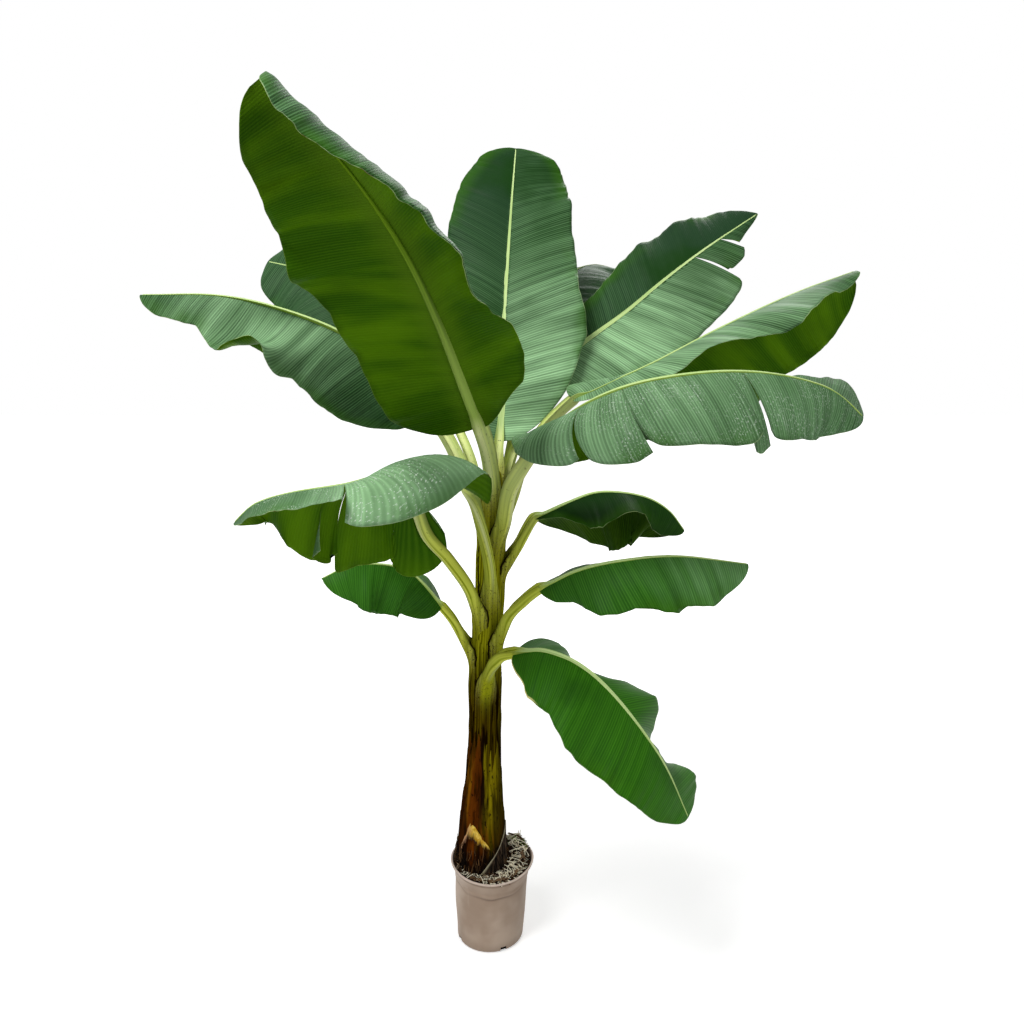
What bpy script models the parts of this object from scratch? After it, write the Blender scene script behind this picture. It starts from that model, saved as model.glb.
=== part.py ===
"""Potted banana plant: a young banana in a round plastic nursery pot.

The pot is a turned, tapered bucket with drain slots. It holds a plug of soil, and the
corm at the foot of the pseudostem sits in that soil. Thirteen leaves are seated round the
pseudostem. Each leaf is one piece, as it grew: a short sheath that hugs the stem, a
channelled stalk, and a blade with its midrib below. A cut leaf base and a dry sheath are
left at the foot of the stem, and strips of bark lie on the soil.

Metres, +Z up. The origin is the middle of the pot's underside.
"""
import math
from collections import namedtuple

import bmesh
import bpy
import numpy as np

# Driving dimensions
POT_HEIGHT = 0.215
POT_RIM_RADIUS = 0.105
POT_BASE_RADIUS = 0.084
POT_WALL = 0.002
POT_LIP = 0.0035            # how far the rolled lip stands out
POT_LIP_DEPTH = 0.006
POT_BAND = 0.034            # depth of the flared band below the lip
POT_CORNER = 0.008          # how far up the wall the rounded bottom corner reaches
POT_DIP = 0.012             # how far the soft rim has sunk at the front
# The pot's wall below its lip: height and outer radius
POT_OUTLINE = [(POT_CORNER, POT_BASE_RADIUS), (0.100, 0.0885), (POT_HEIGHT - POT_BAND - 0.005, 0.0915),
               (POT_HEIGHT - POT_BAND + 0.003, 0.0940),
               (POT_HEIGHT - POT_LIP_DEPTH, POT_RIM_RADIUS - POT_LIP)]
SOIL_TOP = 0.200
SOIL_SLACK = 0.0015         # how far the soil has shrunk from the pot's wall
SOIL_FLAT = 0.082           # radius inside which the soil's top is level
STEM_TOP = 1.205
CLEARANCE = 0.0003          # gap between pieces that touch
SEAT = 0.0008               # gap between the stem and what hugs it
BLADE_THICKNESS = 0.002

# Sheaths and stalks: half widths, depths and the angle to which their edges curl up
SHEATH_HALF_WIDTH = 0.019
SHEATH_SPAN = 0.38          # the most that half a sheath spans, as a share of the stem's radius
SHEATH_DEPTH = 0.004
STALK_HALF_WIDTH = 0.012
STALK_DEPTH = 0.014
STALK_CURL = 55
RIB_HALF_WIDTH = 0.006
EDGE = 0.001                # thickness of a sheath's or stalk's edges

GROWTH = 0.08               # share of the blade over which the stalk opens out into it
FAN_REACH = 0.4             # share of the blade over which its base veins turn back

# Drain slots round the foot: number, and size across, along and up the wall
DRAIN_SLOTS = 4
DRAIN_TURN = -67.5          # where the first slot sits, in degrees from +X
DRAIN_SLOT = (0.020, 0.016, 0.009)

TURN_STEPS = 40
STEM_STEPS = 28
RIB_POINTS = 241            # fine points along a midrib, from which the sections are taken

# The pseudostem's outline: height and radius, from the corm to the crown
STEM_OUTLINE = [(0.095, 0.026), (0.115, 0.044), (0.150, 0.058), (0.200, 0.0625), (0.260, 0.0600),
                (0.340, 0.0540), (0.430, 0.0450), (0.550, 0.0375), (0.700, 0.0345), (0.900, 0.0320),
                (1.050, 0.0290), (1.150, 0.0250), (1.190, 0.0190), (STEM_TOP, 0.0090)]
# The stem leans: how far its middle lies from the pot's axis along X, by height
STEM_LEAN = [(0.0, -0.026), (0.280, -0.026), (0.550, -0.018), (0.700, -0.015), (1.000, 0.0), (1.300, 0.010)]

ACROSS = 4          # steps across half a blade
ALONG = 12          # steps along a blade
STALK_STEPS = 6     # steps along a sheath and stalk

COLOURS = {"pot": (0.40, 0.31, 0.24), "soil": (0.05, 0.03, 0.02), "stem": (0.25, 0.25, 0.05),
           "leaf": (0.07, 0.22, 0.08), "cut": (0.70, 0.50, 0.10), "bark": (0.23, 0.15, 0.09)}


# A leaf's shape. azimuth: where its sheath sits round the stem, in degrees from +X.
# foot, leave: heights where the sheath starts and where the stalk leaves the stem.
# stalk, rib: points along the stalk and the midrib. face: the way the upper side looks,
# evenly spaced along the rib. width: the wider half. shape: where the blade is widest, and
# how full it is towards its base and its tip. left, right: for each half, seen from above
# with the tip ahead, evenly spaced pairs of angles in degrees at the rib and at the margin,
# positive towards the upper side. fan: how far the veins at the base turn back, in degrees.
# trim_left, trim_right: shares of the width along each half, evenly spaced.
Leaf = namedtuple("Leaf", "name azimuth foot leave stalk rib face width shape left right fan"
                  " trim_left trim_right girth", defaults=((0, 0), (1, 1), (1, 1), 1.0))

LEAVES = [
    Leaf("leaf_tall_left", azimuth=-92, foot=1.02, leave=1.10,
         stalk=[(0.003, -0.05, 1.18), (-0.005, -0.08, 1.25)],
         rib=[(-0.02, -0.12, 1.31), (-0.05, -0.18, 1.40), (-0.09, -0.26, 1.52), (-0.14, -0.34, 1.64),
              (-0.20, -0.41, 1.74), (-0.27, -0.47, 1.83), (-0.34, -0.51, 1.91)],
         face=[(0.1, 1, 0.2), (0.1, 1, 0.2), (0.25, 1, 0.3)], width=0.18, shape=(0.55, 0.42, 0.3),
         left=[(-10, -40), (-10, -35), (0, -92), (-4, -104), (-33, -115), (-50, -110)],
         right=[(-10, -10), (0, -10), (5, -5), (5, -10), (-10, -35)],
         trim_left=(0.6, 1.15, 1.05, 1, 1, 1, 1, 1, 1),
         trim_right=(1.9, 1.4, 1.15, 1.08, 1.18, 1.03, 0.9, 0.87, 0.77), girth=1.4),
    Leaf("leaf_centre_upright", azimuth=104, foot=1.08, leave=1.15,
         stalk=[(0.012, 0.035, 1.20)],
         rib=[(0.02, 0.05, 1.26), (0.03, 0.10, 1.40), (0.03, 0.16, 1.54), (0.04, 0.25, 1.70),
              (0.05, 0.33, 1.85), (0.06, 0.41, 1.98)], face=[(0, -1, 0.3), (0, -1, 0.3)], width=0.2,
         shape=(0.34, 0.45, 0.5), left=[(10, 0), (15, -10), (15, -10), (10, -10)],
         right=[(10, 0), (10, 0), (10, -10), (10, -20)],
         trim_left=(0.8, 0.8, 0.7, 0.7, 0.78, 0.82, 0.87, 0.95, 1),
         trim_right=(0.8, 0.95, 1.04, 0.9, 0.87, 0.87, 0.9, 1.1, 1.4), girth=1.1),
    Leaf("leaf_upper_right", azimuth=54, foot=1.02, leave=1.09,
         stalk=[(0.045, 0.055, 1.20), (0.08, 0.085, 1.30)],
         rib=[(0.13, 0.13, 1.41), (0.23, 0.18, 1.49), (0.33, 0.22, 1.56), (0.43, 0.26, 1.64),
              (0.54, 0.30, 1.72), (0.68, 0.35, 1.81)], face=[(0, -0.8, 0.6), (0, -0.8, 0.6)],
         width=0.17, shape=(0.4, 0.45, 0.85), left=[(0, -10), (0, -20), (0, -30)],
         right=[(0, -10), (0, -10), (-5, -10)],
         trim_left=(0.5, 0.55, 0.62, 0.7, 0.8, 0.87, 0.92, 1.18, 1.1),
         trim_right=(1, 1, 1, 1, 1, 0.95, 0.65, 0.45, 0.4)),
    Leaf("leaf_rear_right", azimuth=75, foot=0.90, leave=0.97,
         stalk=[(0.03, 0.08, 1.13), (0.06, 0.13, 1.28)],
         rib=[(0.11, 0.21, 1.42), (0.15, 0.33, 1.56), (0.21, 0.45, 1.665), (0.28, 0.56, 1.70),
              (0.37, 0.65, 1.69)], face=[(0, 0.3, 1), (0, 0, 1)], width=0.15,
         shape=(0.45, 0.45, 0.4), left=[(0, -30), (0, -40), (0, -30)],
         right=[(-10, -30), (-10, -40), (-10, -30)]),
    Leaf("leaf_long_right", azimuth=3, foot=0.98, leave=1.05,
         stalk=[(0.07, 0.01, 1.20), (0.12, 0.018, 1.29)],
         rib=[(0.19, 0.02, 1.36), (0.29, -0.02, 1.41), (0.37, -0.05, 1.45), (0.50, -0.07, 1.52),
              (0.65, -0.07, 1.59), (0.79, -0.05, 1.64)], face=[(0, -0.2, 1), (0, -0.2, 1)],
         width=0.18, shape=(0.5, 0.45, 0.35), fan=(60, 0),
         left=[(75, 20), (20, -50), (-60, -110), (-60, -110), (-60, -110), (-60, -105), (-60, -100)],
         right=[(-10, -25), (0, -25), (10, -15)], trim_left=(0.7, 0.85, 1, 1, 1),
         trim_right=(0.5, 0.55, 0.5, 0.45, 0.5, 0.75, 0.5, 0.43, 0.4), girth=1.1),
    Leaf("leaf_arched_right", azimuth=-50, foot=0.94, leave=1.01,
         stalk=[(0.032, -0.05, 1.08), (0.05, -0.085, 1.18)],
         rib=[(0.10, -0.12, 1.27), (0.15, -0.17, 1.33), (0.22, -0.22, 1.38), (0.31, -0.26, 1.415),
              (0.44, -0.29, 1.435), (0.56, -0.30, 1.43), (0.67, -0.29, 1.40), (0.74, -0.28, 1.345)],
         face=[(0.1, -0.3, 1), (0, -0.2, 1)], width=0.15, shape=(0.4, 0.4, 0.5), fan=(60, 95),
         left=[(-50, -85), (-50, -88), (-50, -90), (-48, -85), (-45, -80), (-35, -60), (-10, -20),
              (15, 5), (30, 20)],
         right=[(75, 45), (25, -60), (-15, -80), (-25, -85), (-28, -90), (-30, -90), (-30, -85),
              (-30, -80), (-30, -60)], trim_right=(0.9, 0.95, 1, 1.02, 1.05, 1.05, 1.05, 1.25, 1.1),
         girth=1.1),
    Leaf("leaf_rear_left", azimuth=150, foot=0.98, leave=1.05,
         stalk=[(-0.045, 0.055, 1.20)],
         rib=[(-0.10, 0.12, 1.32), (-0.21, 0.24, 1.43), (-0.32, 0.33, 1.55), (-0.46, 0.40, 1.66),
              (-0.61, 0.45, 1.70)], face=[(0, -0.8, 0.6), (0, -0.8, 0.6)], width=0.17,
         shape=(0.45, 0.45, 0.4), left=[(0, -10), (0, -20), (0, -20)],
         right=[(0, -10), (0, -20), (0, -20)]),
    Leaf("leaf_long_left", azimuth=-75, foot=0.80, leave=0.87,
         stalk=[(-0.002, -0.062, 1.00), (-0.038, -0.06, 1.14), (-0.085, -0.025, 1.25)],
         rib=[(-0.14, 0.02, 1.33), (-0.23, 0.02, 1.43), (-0.33, 0.00, 1.51), (-0.47, -0.02, 1.565),
              (-0.60, -0.03, 1.59), (-0.76, -0.04, 1.59)], face=[(0, -0.3, 1), (0, -0.3, 1)],
         width=0.2, shape=(0.3, 0.45, 0.7),
         left=[(-50, -90), (-52, -95), (-55, -100), (-55, -85), (-85, 45), (-80, 20), (-40, -50),
              (-30, -40), (-20, -30)], right=[(-30, -80), (-40, -100), (-30, -70), (-20, -50)],
         trim_left=(1, 1, 0.88, 0.72, 0.85, 1.05, 0.55, 0.7, 1), girth=1.25),
    Leaf("leaf_front_left", azimuth=-132, foot=0.76, leave=0.83,
         stalk=[(-0.045, -0.08, 0.93), (-0.09, -0.13, 1.02), (-0.135, -0.17, 1.09)],
         rib=[(-0.16, -0.20, 1.18), (-0.20, -0.24, 1.225), (-0.275, -0.32, 1.22),
              (-0.37, -0.375, 1.212), (-0.43, -0.40, 1.195), (-0.468, -0.41, 1.16)],
         face=[(-0.1, -0.1, 0.9), (0, -0.1, 0.9), (0, -0.1, 1), (0, -0.1, 1)], width=0.19,
         shape=(0.2, 0.25, 0.5), fan=(95, 95),
         left=[(60, 25), (55, -30), (50, -75), (30, -70), (10, -25), (0, -3), (0, 0), (-5, 3),
              (-10, 5)],
         right=[(0, -20), (-40, -70), (-70, -90), (-70, -90), (-70, -90), (-50, -80), (-40, -70),
              (-40, -65), (-40, -60)], trim_left=(1.5, 1.15, 0.6, 0.5, 0.5),
         trim_right=(1.6, 1.15, 1.05, 1.05, 1.05, 0.85, 0.7, 0.6, 0.6), girth=0.9),
    Leaf("leaf_small_left", azimuth=-172, foot=0.66, leave=0.73,
         stalk=[(-0.066, -0.025, 0.80), (-0.085, -0.045, 0.85)],
         rib=[(-0.11, -0.06, 0.89), (-0.15, -0.08, 0.95), (-0.19, -0.10, 0.99), (-0.25, -0.13, 1.01),
              (-0.31, -0.16, 1.01), (-0.36, -0.18, 0.99)], face=[(0, -0.3, 1), (0, -0.3, 1)],
         width=0.115, shape=(0.45, 0.4, 0.5), left=[(-20, -60), (-30, -70), (-20, -60)],
         right=[(-5, -10), (-30, -60), (-20, -60)], girth=0.8),
    Leaf("leaf_small_right", azimuth=0, foot=0.87, leave=0.94,
         stalk=[(0.045, -0.006, 0.98), (0.072, -0.015, 1.04)],
         rib=[(0.10, -0.02, 1.09), (0.18, -0.03, 1.13), (0.25, -0.04, 1.155), (0.34, -0.06, 1.15),
              (0.40, -0.07, 1.12), (0.44, -0.07, 1.07)], face=[(0, -0.3, 1), (0, -0.3, 1)],
         width=0.14, shape=(0.5, 0.5, 0.4),
         left=[(-40, -70), (-60, -95), (-65, -100), (-65, -95), (-50, -80)],
         right=[(-10, -20), (-10, -15), (-20, -50)], trim_left=(1.5, 1.5, 1.35, 1.1, 0.95, 1.5, 1.9),
         trim_right=(0.3, 0.4, 0.95, 0.9, 0.55, 0.38, 0.55, 0.6, 0.4), girth=0.85),
    Leaf("leaf_mid_right", azimuth=-35, foot=0.68, leave=0.76,
         stalk=[(0.038, -0.06, 0.86), (0.075, -0.08, 0.91)],
         rib=[(0.11, -0.10, 0.945), (0.20, -0.14, 1.00), (0.30, -0.17, 1.03), (0.41, -0.18, 1.04),
              (0.56, -0.17, 1.02)], face=[(0, -0.3, 1), (0, -0.3, 1)], width=0.125,
         shape=(0.5, 0.5, 0.6), left=[(0, -20), (-20, -80), (-20, -60)],
         right=[(-20, -50), (-20, -50), (-20, -50)], girth=0.9,
         trim_right=(0.7, 0.85, 1.1, 0.93, 1.03, 1, 1.02, 0.97, 0.95)),
    Leaf("leaf_low_right", azimuth=-85, foot=0.58, leave=0.66,
         stalk=[(-0.002, -0.075, 0.73), (0.02, -0.095, 0.78)],
         rib=[(0.055, -0.12, 0.80), (0.12, -0.16, 0.82), (0.20, -0.20, 0.80), (0.28, -0.24, 0.735),
              (0.37, -0.27, 0.615), (0.43, -0.28, 0.485)],
         face=[(0.1, -0.4, 1), (0.3, -0.5, 1), (0.6, -0.5, 0.6)], width=0.15,
         shape=(0.4, 0.4, 0.45),
         left=[(0, -10), (-10, -50), (-50, -80), (-20, -40), (0, -15), (-30, -50), (-30, -50),
              (0, -10), (0, -10)], right=[(0, -25), (-5, -25), (0, -15)],
         trim_left=(1.1, 0.9, 0.7, 0.8, 0.9, 0.7, 0.7, 1.1, 1.5),
         trim_right=(0.7, 1.1, 0.98, 1.15, 1.05, 1, 0.95, 0.9, 0.7), girth=0.9),
]

# Bark strips on the soil: distance from the pot's axis, angle, turn, length, width
BARK = [(0.080, -78, 12, 0.046, 0.012), (0.078, -38, 52, 0.044, 0.011), (0.076, 2, 95, 0.042, 0.013),
        (0.078, 42, 132, 0.046, 0.010), (0.080, 82, 172, 0.044, 0.012), (0.083, -115, -22, 0.036, 0.010)]
BARK_THICKNESS = 0.0035
BARK_TAPER = 0.35           # how much narrower a strip's far end is

# Remains of old leaves at the stem's foot: azimuth, bottom, top, half width, depth, colour,
# and the share of the width left at the top
OLD_BASES = {"cut_leaf_base": (-103, 0.272, 0.322, 0.022, 0.010, "cut", 0.5),
             "dry_sheath": (-36, 0.222, 0.322, 0.025, 0.002, "bark", 0.45)}


def clear_scene():
    for item in list(bpy.data.objects):
        bpy.data.objects.remove(item, do_unlink=True)


def new_collection(name):
    collection = bpy.data.collections.new(name)
    bpy.context.scene.collection.children.link(collection)
    return collection


def material(name, colour, roughness):
    finish = bpy.data.materials.new(name)
    finish.use_nodes = True
    shader = finish.node_tree.nodes["Principled BSDF"]
    shader.inputs["Base Color"].default_value = (*colour, 1)
    shader.inputs["Roughness"].default_value = roughness
    shader.inputs["Metallic"].default_value = 0.0
    return finish


def add_object(name, mesh, collection, colour=None, roughness=0.5):
    item = bpy.data.objects.new(name, mesh)
    collection.objects.link(item)
    if colour:
        mesh.materials.append(material(name, colour, roughness))
    return item


def shade_round(mesh, angle=40):
    mesh.shade_smooth()
    mesh.set_sharp_from_angle(angle=math.radians(angle))


def turned(name, outline, steps, collection):
    """A solid of revolution about Z: outline is (radius, height), outer side first, top to bottom."""
    mesh = bpy.data.meshes.new(name)
    points = [(radius, 0, height) for radius, height in outline]
    mesh.from_pydata(points, [(i, i + 1) for i in range(len(points) - 1)], [])
    item = add_object(name, mesh, collection)
    screw = item.modifiers.new("turn", "SCREW")
    screw.steps = screw.render_steps = steps
    screw.use_merge_vertices = True
    screw.merge_threshold = 0.00001
    return item


def applied(item):
    """The item's evaluated mesh, with its modifiers gone."""
    depsgraph = bpy.context.evaluated_depsgraph_get()
    mesh = bpy.data.meshes.new_from_object(item.evaluated_get(depsgraph))
    item.modifiers.clear()
    item.data = mesh
    return mesh


def closed_up(mesh):
    """Merge what meets at the axis, and point the faces outwards."""
    work = bmesh.new()
    work.from_mesh(mesh)
    bmesh.ops.remove_doubles(work, verts=work.verts, dist=0.00001)
    bmesh.ops.recalc_face_normals(work, faces=work.faces)
    work.to_mesh(mesh)
    work.free()


def lean(height):
    return float(np.interp(height, *zip(*STEM_LEAN)))


def stem_radius(height):
    return float(np.interp(height, *zip(*STEM_OUTLINE)))


# The pot: one turned wall with a rolled lip and a flared band below it
def pot_radius(height):
    return float(np.interp(height, *zip(*POT_OUTLINE)))


def sink_front(mesh):
    """Lower the wall's and the soil's outer points towards the front, the more the higher they are."""
    for vertex in mesh.vertices:
        radius = math.hypot(vertex.co.x, vertex.co.y)
        if radius > SOIL_FLAT + EDGE / 2:
            share = vertex.co.z / POT_HEIGHT
            vertex.co.z -= POT_DIP * share ** 2 * (3 - 2 * share) * max(0.0, -vertex.co.y / radius) ** 1.5


def add_pot(parts, cutters):
    lip = POT_HEIGHT - POT_LIP_DEPTH
    round_off = POT_CORNER / 4
    corner = POT_CORNER + EDGE
    wall = [(radius, height) for height, radius in POT_OUTLINE]
    outer = [(0, 0), (POT_BASE_RADIUS - POT_CORNER, 0), (POT_BASE_RADIUS - round_off, round_off)]
    outer += wall + [(POT_RIM_RADIUS, lip + EDGE / 2), (POT_RIM_RADIUS, POT_HEIGHT - EDGE),
                     (POT_RIM_RADIUS - EDGE, POT_HEIGHT)]
    inner = [(pot_radius(POT_HEIGHT) - POT_WALL, POT_HEIGHT)]
    inner += [(radius - POT_WALL, height) for radius, height in wall[:0:-1]]
    inner += [(POT_BASE_RADIUS - POT_WALL, corner), (POT_BASE_RADIUS - corner, POT_WALL), (0, POT_WALL)]
    pot = turned("pot", (outer + inner)[::-1], TURN_STEPS, parts)
    mesh = applied(pot)
    closed_up(mesh)
    sink_front(mesh)
    reach = POT_BASE_RADIUS - 0.003
    for i in range(DRAIN_SLOTS):
        angle = 2 * math.pi * i / DRAIN_SLOTS + math.radians(DRAIN_TURN)
        place = (reach * math.cos(angle), reach * math.sin(angle), DRAIN_SLOT[2] / 2)
        bpy.ops.mesh.primitive_cube_add(size=1, location=place, rotation=(0, 0, angle))
        slot = bpy.context.active_object
        slot.name = f"drain_slot_{i}"
        slot.scale = DRAIN_SLOT
        hide_cutter(slot, cutters)
        cut(pot, slot)
    pot.data.materials.append(material("pot", COLOURS["pot"], 0.6))
    shade_round(pot.data)


def hide_cutter(item, cutters):
    for owner in list(item.users_collection):
        owner.objects.unlink(item)
    cutters.objects.link(item)
    item.hide_render = True
    item.display_type = "WIRE"


def cut(item, cutter):
    boolean = item.modifiers.new(cutter.name, "BOOLEAN")
    boolean.operation = "DIFFERENCE"
    boolean.object = cutter


# The soil: a plug that fills the pot, with the corm's hollow in it
def add_soil(parts, cutters):
    bottom = POT_WALL + CLEARANCE
    slack = bottom + SOIL_SLACK
    edge = 0.004
    outline = [(0, SOIL_TOP), (SOIL_FLAT, SOIL_TOP), (pot_radius(SOIL_TOP) - slack - edge, SOIL_TOP),
               (pot_radius(SOIL_TOP) - slack, SOIL_TOP - edge)]
    outline += [(radius - slack, height) for height, radius in POT_OUTLINE[3:0:-1]]
    outline += [(POT_BASE_RADIUS - slack, POT_CORNER + bottom),
               (POT_BASE_RADIUS - slack - POT_CORNER, bottom), (0, bottom)]
    soil = turned("soil", outline, TURN_STEPS, parts)
    mesh = applied(soil)
    closed_up(mesh)
    sink_front(mesh)
    below = [(radius + CLEARANCE, height - CLEARANCE) for height, radius in STEM_OUTLINE
             if height < SOIL_TOP + 0.1]
    hollow = turned("corm_hollow", [(0, below[-1][1])] + below[::-1] + [(0, below[0][1])],
                    STEM_STEPS, cutters)
    closed_up(applied(hollow))
    hollow.location.x = lean(0)
    hide_cutter(hollow, cutters)
    cut(soil, hollow)
    soil.data.materials.append(material("soil", COLOURS["soil"], 0.9))
    shade_round(soil.data)


# The pseudostem: rolled leaf sheaths over the corm, one tapering, leaning body
def add_pseudostem(parts):
    outline = [(0, STEM_TOP)] + [(radius, height) for height, radius in STEM_OUTLINE][::-1]
    outline += [(0, STEM_OUTLINE[0][0])]
    stem = turned("pseudostem", outline, STEM_STEPS, parts)
    mesh = applied(stem)
    closed_up(mesh)
    for vertex in mesh.vertices:
        vertex.co.x += lean(vertex.co.z)
    mesh.materials.append(material("pseudostem", COLOURS["stem"], 0.5))
    shade_round(mesh)


# Curves and sections shared by the leaves and the sheaths
def unit(vectors):
    return vectors / np.linalg.norm(vectors, axis=-1, keepdims=True)


def smooth_curve(points, count):
    """Catmull-Rom through the points, at even steps along its length."""
    p = np.array(points, float)
    p = np.vstack([2 * p[0] - p[1], p, 2 * p[-1] - p[-2]])
    t = np.linspace(0, 1, 24, endpoint=False)[:, None]
    runs = [0.5 * (2 * b + (c - a) * t + (2 * a - 5 * b + 4 * c - d) * t**2 + (3 * b - a - 3 * c + d) * t**3)
            for a, b, c, d in zip(p, p[1:], p[2:], p[3:])]
    fine = np.vstack(runs + [p[-2][None]])
    length = np.r_[0, np.cumsum(np.linalg.norm(np.diff(fine, axis=0), axis=1))]
    at = np.linspace(0, length[-1], count)
    return np.stack([np.interp(at, length, fine[:, k]) for k in range(3)], -1)


def spread(values, t):
    """Evenly spaced values, smoothly interpolated at the shares t."""
    v = np.array(values, float)
    v = v[:, None] if v.ndim == 1 else v
    x = np.linspace(0, 1, len(v))
    slope = np.gradient(v, x, axis=0)
    i = np.clip(np.searchsorted(x, t, side="right") - 1, 0, len(v) - 2)
    h = x[1] - x[0]
    f = ((t - x[i]) / h)[:, None]
    return ((2 * f**3 - 3 * f**2 + 1) * v[i] + (f**3 - 2 * f**2 + f) * h * slope[i]
            + (3 * f**2 - 2 * f**3) * v[i + 1] + (f**3 - f**2) * h * slope[i + 1])


def blade_outline(t, peak, base, tip):
    """Half width along a blade, as a share of the widest."""
    rise = np.clip(t / peak, 0, 1)
    fall = np.clip((1 - t) / (1 - peak), 0, 1)
    return (1 - (1 - rise) ** 2) ** base * (1 - (1 - fall) ** 2) ** tip


def half_section(width, steps, first, last):
    """Points across half a section: out along its width, and up towards its upper side."""
    v = np.concatenate([[0], steps])
    angle = np.radians(first + (last - first) * (v[1:] + v[:-1]) / 2)
    run = np.diff(v) * width
    return (np.concatenate([[0], np.cumsum(np.cos(angle) * run)]),
            np.concatenate([[0], np.cumsum(np.sin(angle) * run)]))


SHEATH_STEPS = np.array([0.3, 0.6, 0.85, 1.0])
SHEATH_DEPTHS = np.array([1.0, 0.93, 0.7, 0.4, 0.12])
RIB_DEPTHS = np.array([1.0, 0.1, 0.0, 0.0, 0.0])


def section(place, along, face, left, right, depths):
    """The upper side of one section, left to right, and how deep the leaf is below each point."""
    side = unit(np.cross(along, face))
    up = np.cross(side, along)
    points = [place + sign * side * out[:, None] + up * rise[:, None] - along * back[:, None]
              for sign, (out, rise, back) in ((-1, left), (1, right))]
    return np.vstack([points[0][::-1], points[1][1:]]), np.concatenate([depths[::-1], depths[1:]])


def clear_of_stem(points):
    """Push a section out to the stem's surface, as a sheath fits round it."""
    for point in points:
        out = point - np.array([lean(point[2]), 0, point[2]])
        distance = np.linalg.norm(out)
        short = stem_radius(point[2]) + SEAT - distance
        if short > 0 and point[2] < STEM_TOP:
            point += out / distance * short
    return points


def leaf_sections(leaf):
    """Sections from the sheath's foot to the blade's tip."""
    turn = math.radians(leaf.azimuth)
    out = np.array([math.cos(turn), math.sin(turn), 0])
    seats = [np.array([lean(z), 0, z]) + out * (stem_radius(z) + SEAT)
             for z in (leaf.foot, (leaf.foot + leaf.leave) / 2, leaf.leave)]
    rib = smooth_curve(leaf.rib, RIB_POINTS)
    whole = smooth_curve(seats + list(leaf.stalk) + [leaf.rib[0], leaf.rib[1]], 401)
    stalk_end = int(np.argmin(np.linalg.norm(whole - rib[0], axis=1)))
    stalk = whole[:stalk_end + 1]
    stalk_along = unit(np.gradient(whole, axis=0))[:stalk_end + 1]
    rib_along = unit(np.gradient(rib, axis=0))
    rib_along[0] = stalk_along[-1]
    share = np.linspace(0, 1, RIB_POINTS)
    face = unit(spread(leaf.face, share))
    grid = spread(leaf.left, share), spread(leaf.right, share)
    girth = leaf.girth

    sections = []
    for i in range(STALK_STEPS):
        s = i / STALK_STEPS
        k = int(round(s * stalk_end))
        place, along = stalk[k], stalk_along[k]
        hug = np.clip((leaf.leave + 0.01 - place[2]) / 0.03, 0, 1)
        turned_face = unit(-out * (1 - s) ** 1.5 + face[0] * s ** 1.5)
        sheath = min(SHEATH_HALF_WIDTH, SHEATH_SPAN * stem_radius(place[2]))
        width = (sheath * (1 - s) + STALK_HALF_WIDTH * s) * girth
        curl = math.degrees(width / (stem_radius(place[2]) + SEAT)) if hug > 0 else 0
        channel = curl * hug + STALK_CURL * (1 - hug)
        half = half_section(width, SHEATH_STEPS, 0, channel)
        depth = SHEATH_DEPTH + (STALK_DEPTH - SHEATH_DEPTH) * min(1, 2.5 * s)
        depths = depth * girth * SHEATH_DEPTHS + EDGE
        arm = (*half, np.zeros(ACROSS + 1))
        points, below = section(place, along, turned_face, arm, arm, depths)
        sections.append((clear_of_stem(points), below))

    u = np.linspace(0, 1, ALONG + 1)
    shares = 0.6 * u + 0.4 * (1 - np.cos(np.pi * u)) / 2
    shares[-1] = 0.997
    for t in shares:
        k = int(round(t * (RIB_POINTS - 1)))
        growth = min(1, t / GROWTH)
        rib_half = RIB_HALF_WIDTH * girth * (1 - 0.7 * t)
        arms = []
        for side in range(2):
            trim = float(np.interp(t, np.linspace(0, 1, len((leaf.trim_left, leaf.trim_right)[side])),
                                   (leaf.trim_left, leaf.trim_right)[side]))
            blade = leaf.width * float(blade_outline(t, *leaf.shape)) * trim
            width = max(blade, STALK_HALF_WIDTH * girth * (1 - t))
            rib_share = min(0.3, rib_half / width)
            steps = np.linspace(rib_share, 1, ACROSS)
            steps = steps * growth + SHEATH_STEPS * (1 - growth)
            first, last = grid[side][k]
            half = half_section(width, steps, first * growth, last * growth + STALK_CURL * (1 - growth))
            fan = math.radians(leaf.fan[side]) * max(0, 1 - t / FAN_REACH)
            arms.append((half[0] * math.cos(fan), half[1], half[0] * math.sin(fan)))
        depth = STALK_DEPTH * girth * (1 - 0.93 * t ** 0.8)
        depths = depth * (RIB_DEPTHS * growth + SHEATH_DEPTHS * (1 - growth)) + BLADE_THICKNESS
        sections.append(section(rib[k], rib_along[k], face[k], arms[0], arms[1], depths))
    return sections


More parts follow.
